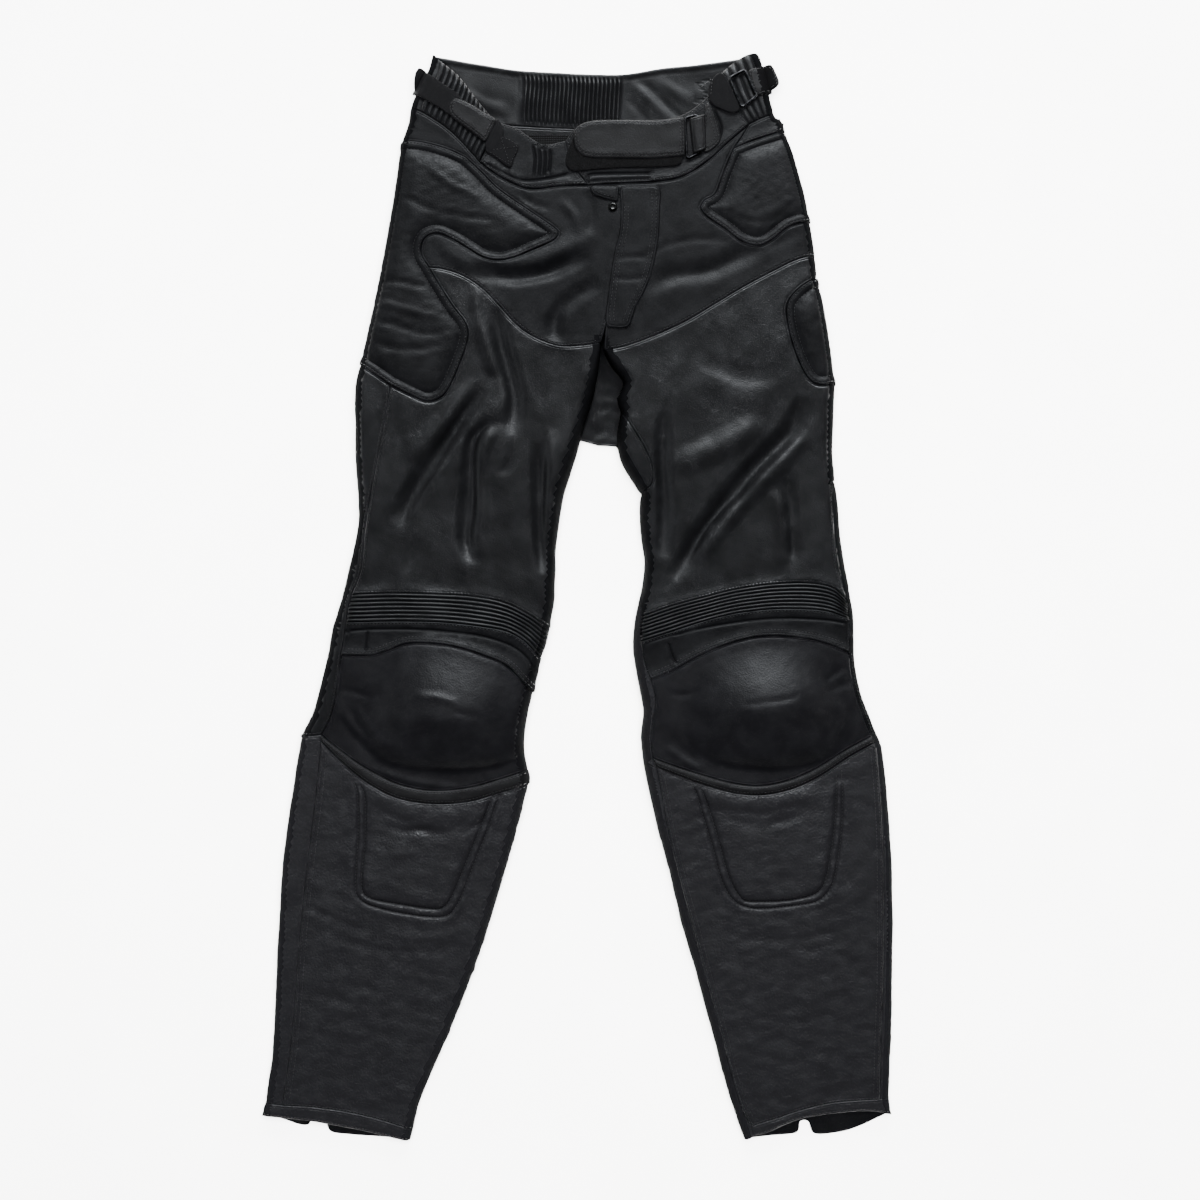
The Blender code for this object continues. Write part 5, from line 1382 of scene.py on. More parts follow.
def panel_lift(name, points):
    """How far a panel's upper surface stands over the common skin."""
    seam = seam_distance(name, points)
    uneven = 0.35 if name.startswith("knee_cup") else 0.6 if name.startswith(("hip", "front")) else 1.0
    lift = -FOLD_DROP * np.exp(-seam / FOLD_REACH)
    lift = lift + creases(points, uneven) * np.clip(seam / 5, 0, 1)
    lift += lap_lift(name, points)
    if name.startswith("hip_pad"):
        from_side, _ = side_distance(points, ALL_SIDES)
        rise = np.clip((seam - BORDER_WIDTH) / PAD_SHOULDER, 0, 1)
        lift += PAD_THICKNESS * rise * (2 - rise) * np.clip(from_side / PAD_SIDE_REACH, 0, 1)
        lift += 0.5 * hump(seam - 4.8, 2.0) - 0.9 * hump(seam - PAD_ROW, 1.1)
    if name in SHIN_PADS:
        lift += shin_pad_lift(name, points)
    lift += groove_lift(name, points)
    if name in WRINKLES:
        rise, shortest, longest, drawn_out = WRINKLES[name]
        lift += rise * waves(points, shortest, longest, 31, drawn_out, 40) * np.clip(seam / 6, 0, 1)
    if name in CROWNS:
        half = min(6.0, max(1.0, float(seam.max())))
        lift += CROWNS[name] * (1 - (1 - np.clip(seam / half, 0, 1)) ** 2)
    return np.maximum(lift, -LEATHER + 0.5)


CURVED_SHARE = 0.45
NARROWEST = 0.0101


def cut_size(name, outline, piece):
    """A sheet's cut before it was sewn: its width and length in metres, and its area. One that fills
    little of its box, such as a curved strip, is given as the straight strip it would make."""
    area = sum(face.area for face in piece.data.polygons) / 2
    board = abs(turn(outline)) / 2 * MM * MM
    stretch = math.sqrt(max(area / board, 1))
    width, length = (outline.max(axis=0) - outline.min(axis=0)) * MM * stretch
    if area < CURVED_SHARE * width * length:
        half = measured(np.vstack([outline, outline[:1]])) / 2 * MM * stretch
        length = (half + math.sqrt(max(half**2 - 4 * area, 0))) / 2
        width = area / length * 1.02
    width, length = max(width, NARROWEST), max(length, NARROWEST)
    CUTS[name] = (round(width, 4), round(length, 4), round(area, 5))
    return width, length, min(area, width * length)


CUTS = {}


def lay(name, slot, piece, outline):
    """Hide the solid that a soft piece stands for, and keep its cut for the closing cell unless it is
    padded.
    """
    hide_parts(name)
    if slot == "padded":
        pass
    else:
        cut_size(name, outline, piece)


# %% Cut the front panels
PAD_SPACING = 3.0
GROOVE_OFFSETS = (0, -0.9, 0.9, -2.0, 2.0)
PAD_ROWS = (0.45, 1.3, 2.8, 4.8, 6.4, 7.4, 8.4, 10.0, 12.5)


def make_front_panel(name, finish):
    """One panel of the front, padded where its finish is a pad's or a cup's."""
    slot = "padded" if finish in (PAD, CUP) else "leather"
    outline = panel_outline(name)
    rows = PAD_ROWS if name.startswith("hip_pad") else EDGE_ROWS
    drawn = SHIN_PADS.get(name, ()) + GROOVES.get(name, ())
    spacing = PAD_SPACING if slot == "padded" else SPACING
    points, faces = cut(outline, spacing, rows, drawn, GROOVE_OFFSETS)
    piece = shell(f"{name}_{slot}", points, faces, front_skin, -LEATHER, panel_lift(name, points),
                  finish, edge=np.clip(seam_distance(name, points), 0, RIM_REACH),
                  groove_and_shade=in_groove(name, points))
    lay(name, slot, piece, outline)
    return len(faces) * 2


front_count = sum(make_front_panel(name, finish) for name, finish, _ in FRONT_PANELS)
print("front panels:", front_count, "triangles")

# %% [markdown]
# ## Ribbed stretch panels
#
# Over each knee, at the sides of the waist and behind, leather is sewn onto elastic in narrow tucks, so
# it stands in round ribs with sharp valleys between. A grid between four lines carries them: its rows
# or columns follow the ribs, and a rectified sine lifts them. Coons' patch blends the four sides.

# %% Grids between four lines
RIB_HEIGHT = 1.6


def grid(top, bottom, left, right):
    """Rows and columns of points between four lines."""
    whole = inset(np.vstack([top[:-1], right[:-1], bottom[::-1][:-1], left[::-1][:-1]]), SEAM_GAP / 2)
    a, b, c = len(top) - 1, len(right) - 1, len(bottom) - 1
    top, right = whole[: a + 1], whole[a : a + b + 1]
    bottom = whole[a + b : a + b + c + 1][::-1]
    left = np.vstack([whole[a + b + c :], whole[:1]])[::-1]
    u = np.linspace(0, 1, len(top))[None, :, None]
    v = np.linspace(0, 1, len(left))[:, None, None]
    corners = (
        (1 - u) * (1 - v) * top[0] + u * (1 - v) * top[-1]
        + (1 - u) * v * bottom[0] + u * v * bottom[-1]
    )
    points = (1 - u) * left[:, None] + u * right[:, None] + (1 - v) * top[None] + v * bottom[None]
    return (points - corners).reshape(-1, 2), whole


def grid_triangles(columns, rows):
    """The triangles of a grid."""
    start = (np.arange(rows - 1)[:, None] * columns + np.arange(columns - 1)[None]).ravel()
    a, b, c, d = start, start + 1, start + columns + 1, start + columns
    return np.vstack([np.column_stack([a, b, c]), np.column_stack([a, c, d])])


def tucks(share, count, height):
    """Round ribs with sharp valleys over a share from 0 to 1."""
    return height * np.abs(np.sin(np.clip(share, 0, 1) * math.pi * count)) ** 0.62


def valley(share, count):
    """1 in a valley between two ribs, 0 on their backs."""
    return np.clip(1 - np.abs(np.sin(np.clip(share, 0, 1) * math.pi * count)) / 0.55, 0, 1)


def at(name, fractions):
    """Points of a named line at fractions of its length."""
    return along(LINES[name], fractions)


# %% The ribs over the knees
KNEE_RIBS = 7


def make_knee_ribs(side, left, right):
    name = f"knee_ribs_{side}"
    down = np.linspace(0, 1, KNEE_RIBS * 8 + 1)
    across = np.linspace(0, 1, 73)
    points, outline = grid(at(f"ribs_top_{side}", across), at(f"ribs_foot_{side}", across),
                           at(left, down), at(right, down))
    u, v = np.tile(across, len(down)), np.repeat(down, len(across))
    uneven = 1 + 0.18 * waves(points, 14, 60, 21)
    lift = tucks(v + 0.006 * waves(points, 30, 90, 22), KNEE_RIBS, RIB_HEIGHT + 0.3) * uneven
    lift = lift * np.clip(np.minimum(u, 1 - u) / 0.02, 0.25, 1) - 0.25
    piece = shell(f"{name}_elastic", points, grid_triangles(len(across), len(down)), front_skin,
                  -LEATHER, np.maximum(lift, -1.0), RIBBED, groove_and_shade=valley(v, KNEE_RIBS))
    lay(name, "elastic", piece, outline)


make_knee_ribs("left", "strip_ribs_left", "inner_left.ribs")
make_knee_ribs("right", "inner_ribs_right", "strip_ribs_right")
print(KNEE_RIBS, "ribs over each knee")


# %% The ribbed sides of the waist
def make_waist_side(name, top, bottom, left, right, plain, ribs):
    across = np.concatenate([np.linspace(0, plain, 10)[:-1], np.linspace(plain, 1, ribs * 8 + 1)])
    down = np.linspace(0, 1, 33)
    points, outline = grid(at(top, across), at(bottom, across), at(left, down), at(right, down))
    u, v = np.tile(across, len(down)), np.repeat(down, len(across))
    share = (u - plain) / (1 - plain)
    lift = tucks(share, ribs, RIB_HEIGHT) * np.clip(np.minimum(v, 1 - v) / 0.09, 0, 1) ** 0.5
    lift += 0.15 * waves(points, 12, 40, 23)
    piece = shell(f"{name}_elastic", points, grid_triangles(len(across), len(down)), front_skin,
                  -LEATHER, np.maximum(lift - 0.1, -1.0), RIBBED,
                  groove_and_shade=valley(share, ribs) * (share > 0))
    lay(name, "elastic", piece, outline)


make_waist_side("side_waist_left", "band_top_left", "side_foot_left", "outer_left.waist",
                "band_end_left", 4 / 30, 13)
make_waist_side("side_waist_right", "side_top_right", "side_foot_right", "band_end_right",
                "outer_right.waist", 0.0, 5)
print("13 and 5 ribs at the sides of the waist")

# %% [markdown]
# ## The back waistband
#
# The waist is open, so the inside of the back band shows: a plain leather facing at both ends, and an
# elastic part between them whose ribs run up and down. Its top edge is rolled over and bound.

# %% The back band, seen from inside
BACK_RIBS = 23


# Stitched lines on the two facings of the band
FACING_LINES = (
    ((434, 57), (447, 68), (461, 82)), ((520, 71), (519, 90), (519, 128)),
    ((624, 75), (623, 100), (622, 128)),
    ((697, 84), (713, 79), (709, 97), (695, 103), (697, 84), (709, 97)),
)
FACING_FOLDS = (
    (9, 1.2, ((630, 84), (650, 100), (670, 122))), (7, -1.0, ((640, 80), (664, 104), (684, 122))),
    (9, 0.8, ((656, 80), (678, 94), (694, 104))), (7, -0.8, ((628, 98), (640, 112), (650, 126))),
    (9, 1.0, ((462, 92), (484, 104), (508, 110))), (8, -0.8, ((466, 106), (486, 116), (510, 122))),
)


def facing_lines(points):
    """How deep a point lies in a stitched line of the facings, from 0 to 1."""
    distance = np.min([nearest(points, np.array(route, float))[0] for route in FACING_LINES], axis=0)
    return 0.8 * hump(distance, 1.0)


def make_back_band():
    top_share = (0.278, 0.577)
    foot_share = (0.311, 0.577)
    counts = (34, BACK_RIBS * 8 + 1, 40)

    def spaced(share):
        return np.concatenate([
            np.linspace(0, share[0], counts[0])[:-1], np.linspace(*share, counts[1]),
            np.linspace(share[1], 1, counts[2])[1:],
        ])

    foot = SEAMS["back_band_foot_left"] + SEAMS["back_band_foot_right"][1:]
    down = np.linspace(0, 1, 29)
    top_points, foot_points = at("back_band_top", spaced(top_share)), along(foot, spaced(foot_share))
    points, outline = grid(top_points, foot_points, at("outer_left.waist", down),
                           at("outer_right.waist", down))
    columns = len(top_points)
    order, v = np.tile(np.arange(columns), len(down)), np.repeat(down, columns)
    share = (order - counts[0] + 1) / (counts[1] - 1)
    fade = np.clip(np.minimum(v - 0.06, 0.94 - v) / 0.1, 0, 1) ** 0.6
    ridge = tucks(share, BACK_RIBS, RIB_HEIGHT + 0.6) * fade * (1 + 0.2 * waves(points, 20, 60, 25))
    ridge *= (share > 0) & (share < 1)
    bound = 0.9 * hump(v - 0.03, 0.03) - 0.5 * hump(v - 0.1, 0.02)
    soft = 0.35 * waves(points, 24, 70, 26) + sum(swell(points, *fold) for fold in FACING_FOLDS)
    inner = np.maximum(ridge + bound + soft, -1.0)
    edge = np.minimum(v, 1 - v) * 60
    valleys = valley(share, BACK_RIBS) * (ridge > 0) * (fade > 0.3)
    piece = shell("back_band_leather", points, grid_triangles(columns, len(down)), seat_skin,
                  -LEATHER - inner, 0.0, RIBBED, edge=np.clip(edge, 0, RIM_REACH),
                  groove_and_shade=np.maximum(valleys, facing_lines(points)))
    lay("back_band", "elastic", piece, outline)


make_back_band()
print(BACK_RIBS, "ribs in the back band")

# %% [markdown]
# ## The back and the fork
#
# The back lies on the floor, so it is flat, with its side edges turned up to meet the rolled front. A
# photo from above shows little of it: the low gusset in the fork, and the back hems below the front
# ones. It is cut like the front, with wider triangles.

# %% The back panels
BACK_SPACING = 7.0
BACK_ROWS = (0.4, 1.3, 3.0, 5.0)


def at_side(side_name, y):
    """The point of a side at a place down the garment."""
    run = side_run(side_name)
    return (float(np.interp(y, run[:, 1], run[:, 0])), y)


def between(side_name, start, end):
    """The points of a side between two places down the garment."""
    low, high = min(start, end), max(start, end)
    run = side_run(side_name)
    kept = run[(run[:, 1] > low + 1) & (run[:, 1] < high - 1)]
    kept = np.vstack([[at_side(side_name, low)], kept, [at_side(side_name, high)]])
    return kept if start < end else kept[::-1]


def across(outer, inner, places):
    """A seam across the back from one side to another."""
    start, middle, end = places
    return sampled([at_side(outer, start), *middle, at_side(inner, end)], 4)


SEAT_LEFT = across("outer_left", "inner_left", (405, ((430, 418), (510, 432)), 441))
SEAT_RIGHT = across("inner_right", "outer_right", (447, ((690, 436), (770, 420)), 405))
KNEE_LEFT = across("outer_left", "inner_left", (658, ((430, 668),), 658))
KNEE_RIGHT = across("inner_right", "outer_right", (670, ((750, 676),), 668))
BACK_PANELS = {
    "back_seat_left": (
        line("back_band_foot_left"), line("back_centre"), line("-crotch_left"), SEAT_LEFT[::-1],
        between("outer_left", 405, 112),
    ),
    "back_seat_right": (
        line("back_band_foot_right"), between("outer_right", 119, 405), SEAT_RIGHT[::-1],
        line("-crotch_right"), line("-back_centre"),
    ),
    "back_thigh_left": (
        SEAT_LEFT, between("inner_left", 441, 658), KNEE_LEFT[::-1], between("outer_left", 658, 405),
    ),
    "back_thigh_right": (
        SEAT_RIGHT, between("outer_right", 405, 668), KNEE_RIGHT[::-1],
        between("inner_right", 670, 447),
    ),
    "back_calf_left": (
        KNEE_LEFT, between("inner_left", 658, 1138), sampled(SEAMS["back_hem_left"], 2)[::-1],
        between("outer_left", 1112, 658),
    ),
    "back_calf_right": (
        KNEE_RIGHT, between("outer_right", 668, 1111), sampled(SEAMS["back_hem_right"], 2)[::-1],
        between("inner_right", 1138, 670),
    ),
}


def make_back_panel(name, runs):
    outline = joined(runs, apart=1.0)
    points, faces = cut(outline, BACK_SPACING, BACK_ROWS)
    edge = from_edge(points, outline)
    from_side, _ = side_distance(points, OUTER_SIDES + INNER_SIDES)
    skin = seat_skin if "seat" in name else back_skin
    folded = -0.5 * np.exp(-edge / 0.7) * (from_side > 6)
    inner = -LEATHER - 0.25 * np.clip(from_side / 30, 0, 1) * (1 + waves(points, 30, 90, 31)) * 0.5
    piece = shell(f"{name}_leather", points, faces, skin, inner, folded, BACK,
                  edge=np.where(from_side > 6, edge, RIM_REACH))
    lay(name, "leather", piece, outline)
    return len(faces) * 2


back_count = sum(make_back_panel(name, runs) for name, runs in BACK_PANELS.items())
print(len(BACK_PANELS), "back panels,", back_count, "triangles")


# %% The gusset low in the fork
def level_skin(points, height):
    """A skin that faces straight up."""
    return height, upright(np.zeros((len(points), 2)), np.ones(len(points)))


def gusset_skin(points):
    """Height of the piece that lies low between the legs."""
    distance, _ = side_distance(points, ALL_SIDES)
    return level_skin(points, 3.3 + 1.3 * np.exp(-distance / 5.0))


PANEL_LINES["gusset"] = (
    "fork_head inner_right.fork inner_right.gusset -crotch_right -crotch_left -inner_left.fork"
)
gusset_outline = panel_outline("gusset")
gusset_points, gusset_faces = cut(gusset_outline, 2.5, (0.5, 1.4))
GUSSET_RIDGE = np.array([(601.0, 360.0), (600, 400), (598, 442)])
gusset_lift = 0.35 * waves(gusset_points, 9, 30, 33)
gusset_lift = gusset_lift + 0.8 * hump(nearest(gusset_points, GUSSET_RIDGE)[0], 3.0)
gusset_lift *= np.clip(side_distance(gusset_points, ALL_SIDES)[0] / 3, 0, 1)
gusset_lift = np.minimum(gusset_lift, 0.9)
gusset = shell("gusset_leather", gusset_points, gusset_faces, gusset_skin, -1.4, gusset_lift, SMOOTH,
               edge=seam_distance("gusset", gusset_points))
lay("gusset", "leather", gusset, gusset_outline)
print("gusset", len(gusset_faces) * 2, "triangles")

# %% [markdown]
# Behind the front band the photo looks into the dark waist, onto the open mesh of the lining. It is one
# thin sheet laid on the inside of the seat, just below the back band.

# %% The lining mesh behind the fly
LINING_OUTLINE = (
    (470, 132), (500, 135), (540, 136), (592, 136), (640, 134), (690, 131), (700, 160), (698, 200),
    (640, 214), (592, 218), (540, 216), (486, 204), (470, 170),
)


def lining_skin(points):
    """Just over the inside of the seat."""
    return level_skin(points, np.full(len(points), LEATHER + 1.0))


lining_outline = smooth_loop(LINING_OUTLINE, 3.0)
lining_points, lining_faces = cut(lining_outline, 4.0, (0.5, 2.0))
lining_lift = 0.5 + 0.35 * waves(lining_points, 14, 50, 35)
lining = shell("lining_mesh", lining_points, lining_faces, lining_skin, lining_lift - 0.5,
               lining_lift + 0.3, LINING)
cut_size("lining", lining_outline, lining)
print("lining cut", CUTS["lining"])

# %% [markdown]
# ## Flaps, straps and patches
#
# What is sewn onto a panel is a layer: its own outline, cut again, over the same skin as the panel and
# raised by the layers under it. Its edge is rounded, because leather straps are folded and pressed.
# The outlines come from the photo, and the places where they end come from the panels.

# %% Layers on the panels: node, slot, finish, how high it lies, its crown, what it rests on, outline
LAYER = 1.4
LAYERS = (
    ("fly_placket", "leather", HIP, 0.3, 0.5, "front_hip_right_leather", (
        (621, 193), (620.5, 212), (619.5, 234), (614.5, 256), (611, 276), (608, 300), (605.5, 318),
        (606.5, 329), (612, 332), (627, 331.5), (632, 322), (636, 310), (643, 297), (650, 280),
        (655, 260), (658, 240), (659, 216), (658.5, 193), (640, 191.5),
    )),
    ("fly_top", "leather", HIP, 0.3, 1.1, "front_hip_right_leather", (
        (591, 192), (591.5, 197), (595, 201), (603, 204), (611, 206), (617.5, 206.5), (618.5, 199),
        (618, 192), (605, 191),
    )),
    ("closing_base", "webbing", PILE, 1.0, 0.3, "front_band_right_leather", (
        (580, 133), (596, 128.5), (622, 126.5), (655, 127), (676, 124.5), (681, 127), (681.5, 148),
        (680, 168.5), (662, 172.5), (625, 173.5), (598, 175), (584, 176.5), (571, 176), (566, 166),
        (571, 150),
    )),
    ("closing_tab", "leather", TAB, 2.7, 0.9, "closing_base_webbing", (
        (573.5, 144), (575, 137), (581, 131), (592, 127.5), (622, 126.5), (656, 127), (676, 124.5),
        (682, 124), (684, 130), (684, 158), (681.5, 162), (660, 164), (640, 165), (610, 164.5),
        (592, 164), (583, 161.5), (576, 155),
    )),
    ("strap_patch_right", "leather", TAB, 1.0, 0.3, "front_band_right_leather", (
        (704.5, 112), (709, 110.5), (713.5, 121), (718.5, 140), (717, 150), (703.5, 158), (701.5, 140),
    )),
    ("webbing_right", "webbing", WEBBING, 1.9, 0.2, "side_waist_right_elastic", (
        (707, 94), (713, 83), (719, 79), (725, 84), (731, 97), (738, 114), (731, 119), (719, 115),
        (709, 108),
    )),
    ("side_patch_left", "webbing", WEBBING, 1.0, 0.2, "front_band_left_leather", (
        (494, 146), (502, 141.5), (511, 147), (519.5, 152), (515.5, 163), (511, 173), (497, 163.5),
        (487, 156),
    )),
    ("webbing_left", "webbing", WEBBING, 1.9, 0.2, "side_waist_left_elastic", (
        (415.5, 86), (421, 74), (431, 80), (440, 86.5), (451, 94), (461, 102), (458, 112), (452, 121),
        (443, 115), (433, 109), (423, 103), (415.5, 98),
    )),
    ("side_tab_left", "leather", TAB, 2.1, 0.8, "side_waist_left_elastic", (
        (450.5, 115), (452, 108), (457.5, 104.5), (465, 107), (475, 112), (486, 119), (497, 126),
        (493, 137), (487, 148), (479.5, 143), (469, 135), (460, 128.5), (453, 122),
    )),
    ("side_tab_right", "leather", TAB, 2.4, 0.9, "side_waist_right_elastic", (
        (746.5, 78), (752, 74.5), (765, 71), (770, 72), (774, 80), (777, 88), (775, 93), (768, 98),
        (757, 101.5), (752, 98), (748, 88),
    )),
)
LOOP_LEFT = (
    (487, 148), (497, 126), (503, 131), (505, 140), (501, 150), (495, 158), (489, 156),
)
LAYER_FORMS = {}


def fly_creases(name, points, edge):
    """The creases that go on over the fly; straps and tabs are too stiff for them."""
    crease = sum(swell(points, *fold) for fold in CREASES) if name.startswith("fly") else 0
    return crease * np.clip(edge / 6, 0, 1)


def layer_lift(name, points):
    """The upper surface of a layer: folded edge, crown, and a little unevenness."""
    base, crown, outline = LAYER_FORMS[name]
    edge = from_edge(points, outline)
    lift = crown * (1 - (1 - np.clip(edge / 5, 0, 1)) ** 2) - 0.6 * np.exp(-edge / 0.5)
    return base + LAYER + lift + 0.12 * waves(points, 14, 40, 41) + fly_creases(name, points, edge)


def make_layer(name, slot, finish, base, crown, rests_on, knots):
    outline = smooth_loop(knots, 1.5)
    LAYER_FORMS[name] = (base, crown, outline)
    points, faces = cut(outline, 2.4, (0.4, 1.0, 2.0))
    edge = from_edge(points, outline)
    low = base + fly_creases(name, points, edge)
    piece = shell(f"{name}_{slot}", points, faces, front_skin, low, layer_lift(name, points), finish,
                  edge=edge)
    lay(name, slot, piece, outline)
    return len(faces) * 2


layer_count = sum(make_layer(*layer) for layer in LAYERS)
print(len(LAYERS), "layers,", layer_count, "triangles")

# %% [markdown]
# ## Rings, keeper and press stud
#
# The closing strap runs through a rectangular wire ring, and a smaller one sits on the right side
# strap. A ring is a round wire swept along a rounded rectangle. The press stud is a lathe profile, and
# the keeper is a leather strip bridged over the ring's right bar.

# %% Wire rings
RING_WIRE = 2.6
RING_SIDES = 16
CLOSING_RING = ((684, 124), (696, 121), (700, 158), (686, 165))
SIDE_RING = ((728, 84), (743, 76), (755, 102), (740, 114))


def make_ring(name, corners, clearance, corner=3.0):
    path = []
    for i, here in enumerate(corners):
        here = np.array(here, float)
        before, after = (np.array(corners[(i + k) % len(corners)], float) for k in (-1, 1))
        start = here + (before - here) * corner / np.linalg.norm(before - here)
        end = here + (after - here) * corner / np.linalg.norm(after - here)
        for t in np.linspace(0, 1, 7):
            path.append((1 - t) ** 2 * start + 2 * t * (1 - t) * here + t**2 * end)
    closed = np.vstack([path, path[:1]])
    path = sampled(closed, 1.2)[:-1]
    height, normal = front_skin(path)
    height = (height + np.roll(height, 3) + np.roll(height, -3)) / 3
    centres = np.column_stack([path, height + clearance + RING_WIRE / 2])
    ahead = np.roll(centres, -1, axis=0) - np.roll(centres, 1, axis=0)
    ahead /= np.linalg.norm(ahead, axis=1, keepdims=True)
    aside = np.cross(ahead, normal)
    aside /= np.linalg.norm(aside, axis=1, keepdims=True)
    up = np.cross(aside, ahead)
    turns = np.linspace(0, 2 * math.pi, RING_SIDES + 1)[:-1]
    places = np.vstack([
        centres[i]
        + RING_WIRE / 2 * (np.outer(np.cos(turns), aside[i]) + np.outer(np.sin(turns), up[i]))
        for i in range(len(path))
    ])
    faces = []
    for i in range(len(path)):
        here, there = i * RING_SIDES, (i + 1) % len(path) * RING_SIDES
        for k in range(RING_SIDES):
            n = (k + 1) % RING_SIDES
            quad = (here + k, here + n, there + n, there + k)
            faces.append(quad if turn(path) > 0 else quad[::-1])
    piece = new_mesh(f"{name}_wire", to_metres(places[:, :2], places[:, 2]), faces, WIRE)
    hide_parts(name)
    print(name, len(faces), "faces")


make_ring("closing_ring", CLOSING_RING, 1.0)
make_ring("side_ring_right", SIDE_RING, 2.4)

# %% The press stud
STUD_PLACE = (612.5, 212.5)
STUD_SIDES = 32
# Radius and height over the leather, from the middle of the underside round to the middle of the top
STUD_PROFILE = (
    (0.0, 0.8), (4.0, 0.8), (4.5, 1.1), (4.5, 1.6), (4.1, 2.1), (3.3, 2.5), (2.2, 2.6), (1.9, 2.35),
    (1.0, 2.3), (0.0, 2.3),
)


def make_press_stud():
    centre = np.array([STUD_PLACE], float)
    height, normal = front_skin(centre)
    up = normal[0]
    out = np.cross(up, (0, 1, 0))
    out /= np.linalg.norm(out)
    aside = np.cross(up, out)
    turns = np.linspace(0, 2 * math.pi, STUD_SIDES + 1)[:-1]
    base = np.array([*centre[0], height[0]])
    rings = [
        base + lift * up + radius * (np.outer(np.cos(turns), out) + np.outer(np.sin(turns), aside))
        for radius, lift in STUD_PROFILE[1:-1]
    ]
    places = np.vstack(rings + [[base + STUD_PROFILE[0][1] * up], [base + STUD_PROFILE[-1][1] * up]])
    faces = []
    last, middle = (len(rings) - 1) * STUD_SIDES, len(rings) * STUD_SIDES
    for k in range(STUD_SIDES):
        n = (k + 1) % STUD_SIDES
        for row in range(0, last, STUD_SIDES):
            faces.append((row + n, row + k, row + STUD_SIDES + k, row + STUD_SIDES + n))
        faces.append((k, n, middle))
        faces.append((last + n, last + k, middle + 1))
    piece = new_mesh("press_stud_cap", to_metres(places[:, :2], places[:, 2]), faces, STUD)
    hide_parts("press_stud")
    print("press stud", len(faces), "faces")


make_press_stud()

# %% The keeper over the ring's bar
KEEPER_TOP = ((688, 125), (696, 123), (704, 120.5))
KEEPER_FOOT = ((692, 160), (699, 158), (705, 155))
KEEPER_ROWS = 25


def make_keeper():
    top, bottom = sampled(KEEPER_TOP, 0.6), sampled(KEEPER_FOOT, 0.6)
    count = min(len(top), len(bottom))
    top, bottom = (along(knots, np.linspace(0, 1, count)) for knots in (KEEPER_TOP, KEEPER_FOOT))
    rows = np.linspace(0, 1, KEEPER_ROWS)
    points = ((1 - rows[:, None, None]) * top + rows[:, None, None] * bottom).reshape(-1, 2)
    u, v = np.tile(np.linspace(0, 1, count), KEEPER_ROWS), np.repeat(rows, count)
    base = SEAM_GAP + 0.6 + 3.4 * np.sin(u * math.pi) ** 0.5
    round_off = -0.5 * np.exp(-np.minimum(v, 1 - v) * 60)
    edge = np.minimum(np.minimum(v, 1 - v) * 34, np.minimum(u, 1 - u) * 15)
    piece = shell("closing_keeper_leather", points, grid_triangles(count, KEEPER_ROWS), front_skin,
                  base, base + LAYER + round_off, TAB, edge=edge)
    outline = np.vstack([top, bottom[::-1]])
    lay("closing_keeper", "leather", piece, outline)


make_keeper()
print("keeper", CUTS["closing_keeper"])

# %% The folded loop that holds the left tab
loop_outline = smooth_loop(LOOP_LEFT, 1.5)
LAYER_FORMS["tab_loop_left"] = (0.9, 0.9, loop_outline)
loop_points, loop_faces = cut(loop_outline, 2.0, (0.4, 1.0, 2.0))
loop_edge = from_edge(loop_points, loop_outline)
tab_loop = shell("tab_loop_left", loop_points, loop_faces, front_skin, 0.9,
                 layer_lift("tab_loop_left", loop_points), WEBBING, edge=loop_edge)
cut_size("tab_loop_left", loop_outline, tab_loop)
print("loop", CUTS["tab_loop_left"])

# %% [markdown]
# ## Stitching
#
# The seams are topstitched in black thread, in single or double rows beside the folded edges. At this
# size a stitch is less than a pixel wide, but the rows still read as fine dotted lines, so each
# stitch is a small bead of thread that dips into the leather at both ends. Rows are named by the line
# they follow and their distance from it.

# %% Rows of stitches: a line and the distances from it, or an outline of its own
PITCH = 3.4
STITCH = 2.6
THREAD_RADIUS = 0.30
STITCH_RISE = 0.22
STITCH_DIP = 0.35
SEAM_ROWS = {
    "front_band_left": "band_foot_left 2.2, band_front_left 2.4, band_end_left 2.4",
    "front_band_right": "band_foot_right 2.2, band_top_right 2.4 5.4, band_end_right 2.4, "
                        "band_close_left 2.4",
    "front_hip_left": "yoke_left 2.2, centre 2.2",
    "front_hip_right": "yoke_right 2.2",
    "side_yoke_right": "yoke_foot_right 2.2",
    "hip_pad_left": "pad_head_left 2 7.6, pad_tip_left 2 7.6, pad_foot_left 2 7.6, pad_hem_left 2 7.6",
    "hip_pad_right_upper": "pad_front_right 2 7.6, pad_tip_right 2 7.6",
    "hip_pad_right_lower": "pad_low_right 2 7.6",
    "thigh_left": "ribs_top_left 2.2, strip_left 2.2",
    "thigh_right": "ribs_top_right 2.2, strip_right 2.2",
    "side_strip_left": "strip_left 2.2, strip_cup_left 2.2, strip_end_left 2.2",
    "side_strip_right": "strip_cup_right 2.2",
    "knee_band_left": "ribs_foot_left 2.2, band_foot_knee_left 2.2 6",
    "knee_band_right": "ribs_foot_right 2.2, band_foot_knee_right 2.2 6",
    "knee_binding_left": "border_top_left 2.2, border_foot_left 2.2",
    "knee_binding_right": "border_top_right 2.2, border_foot_right 2.2",
    "shin_left": "border_foot_left 2.2, shin_strip_left 2.2 6, hem_top_left 1.2",
    "shin_right": "border_foot_right 2.2, shin_strip_right 2.2 6, inner_shin_right 2.2 6, "
                  "hem_top_right 1.2",
    "hem_left": "hem_front_left 2.2",
    "hem_right": "hem_front_right 2.2",
}
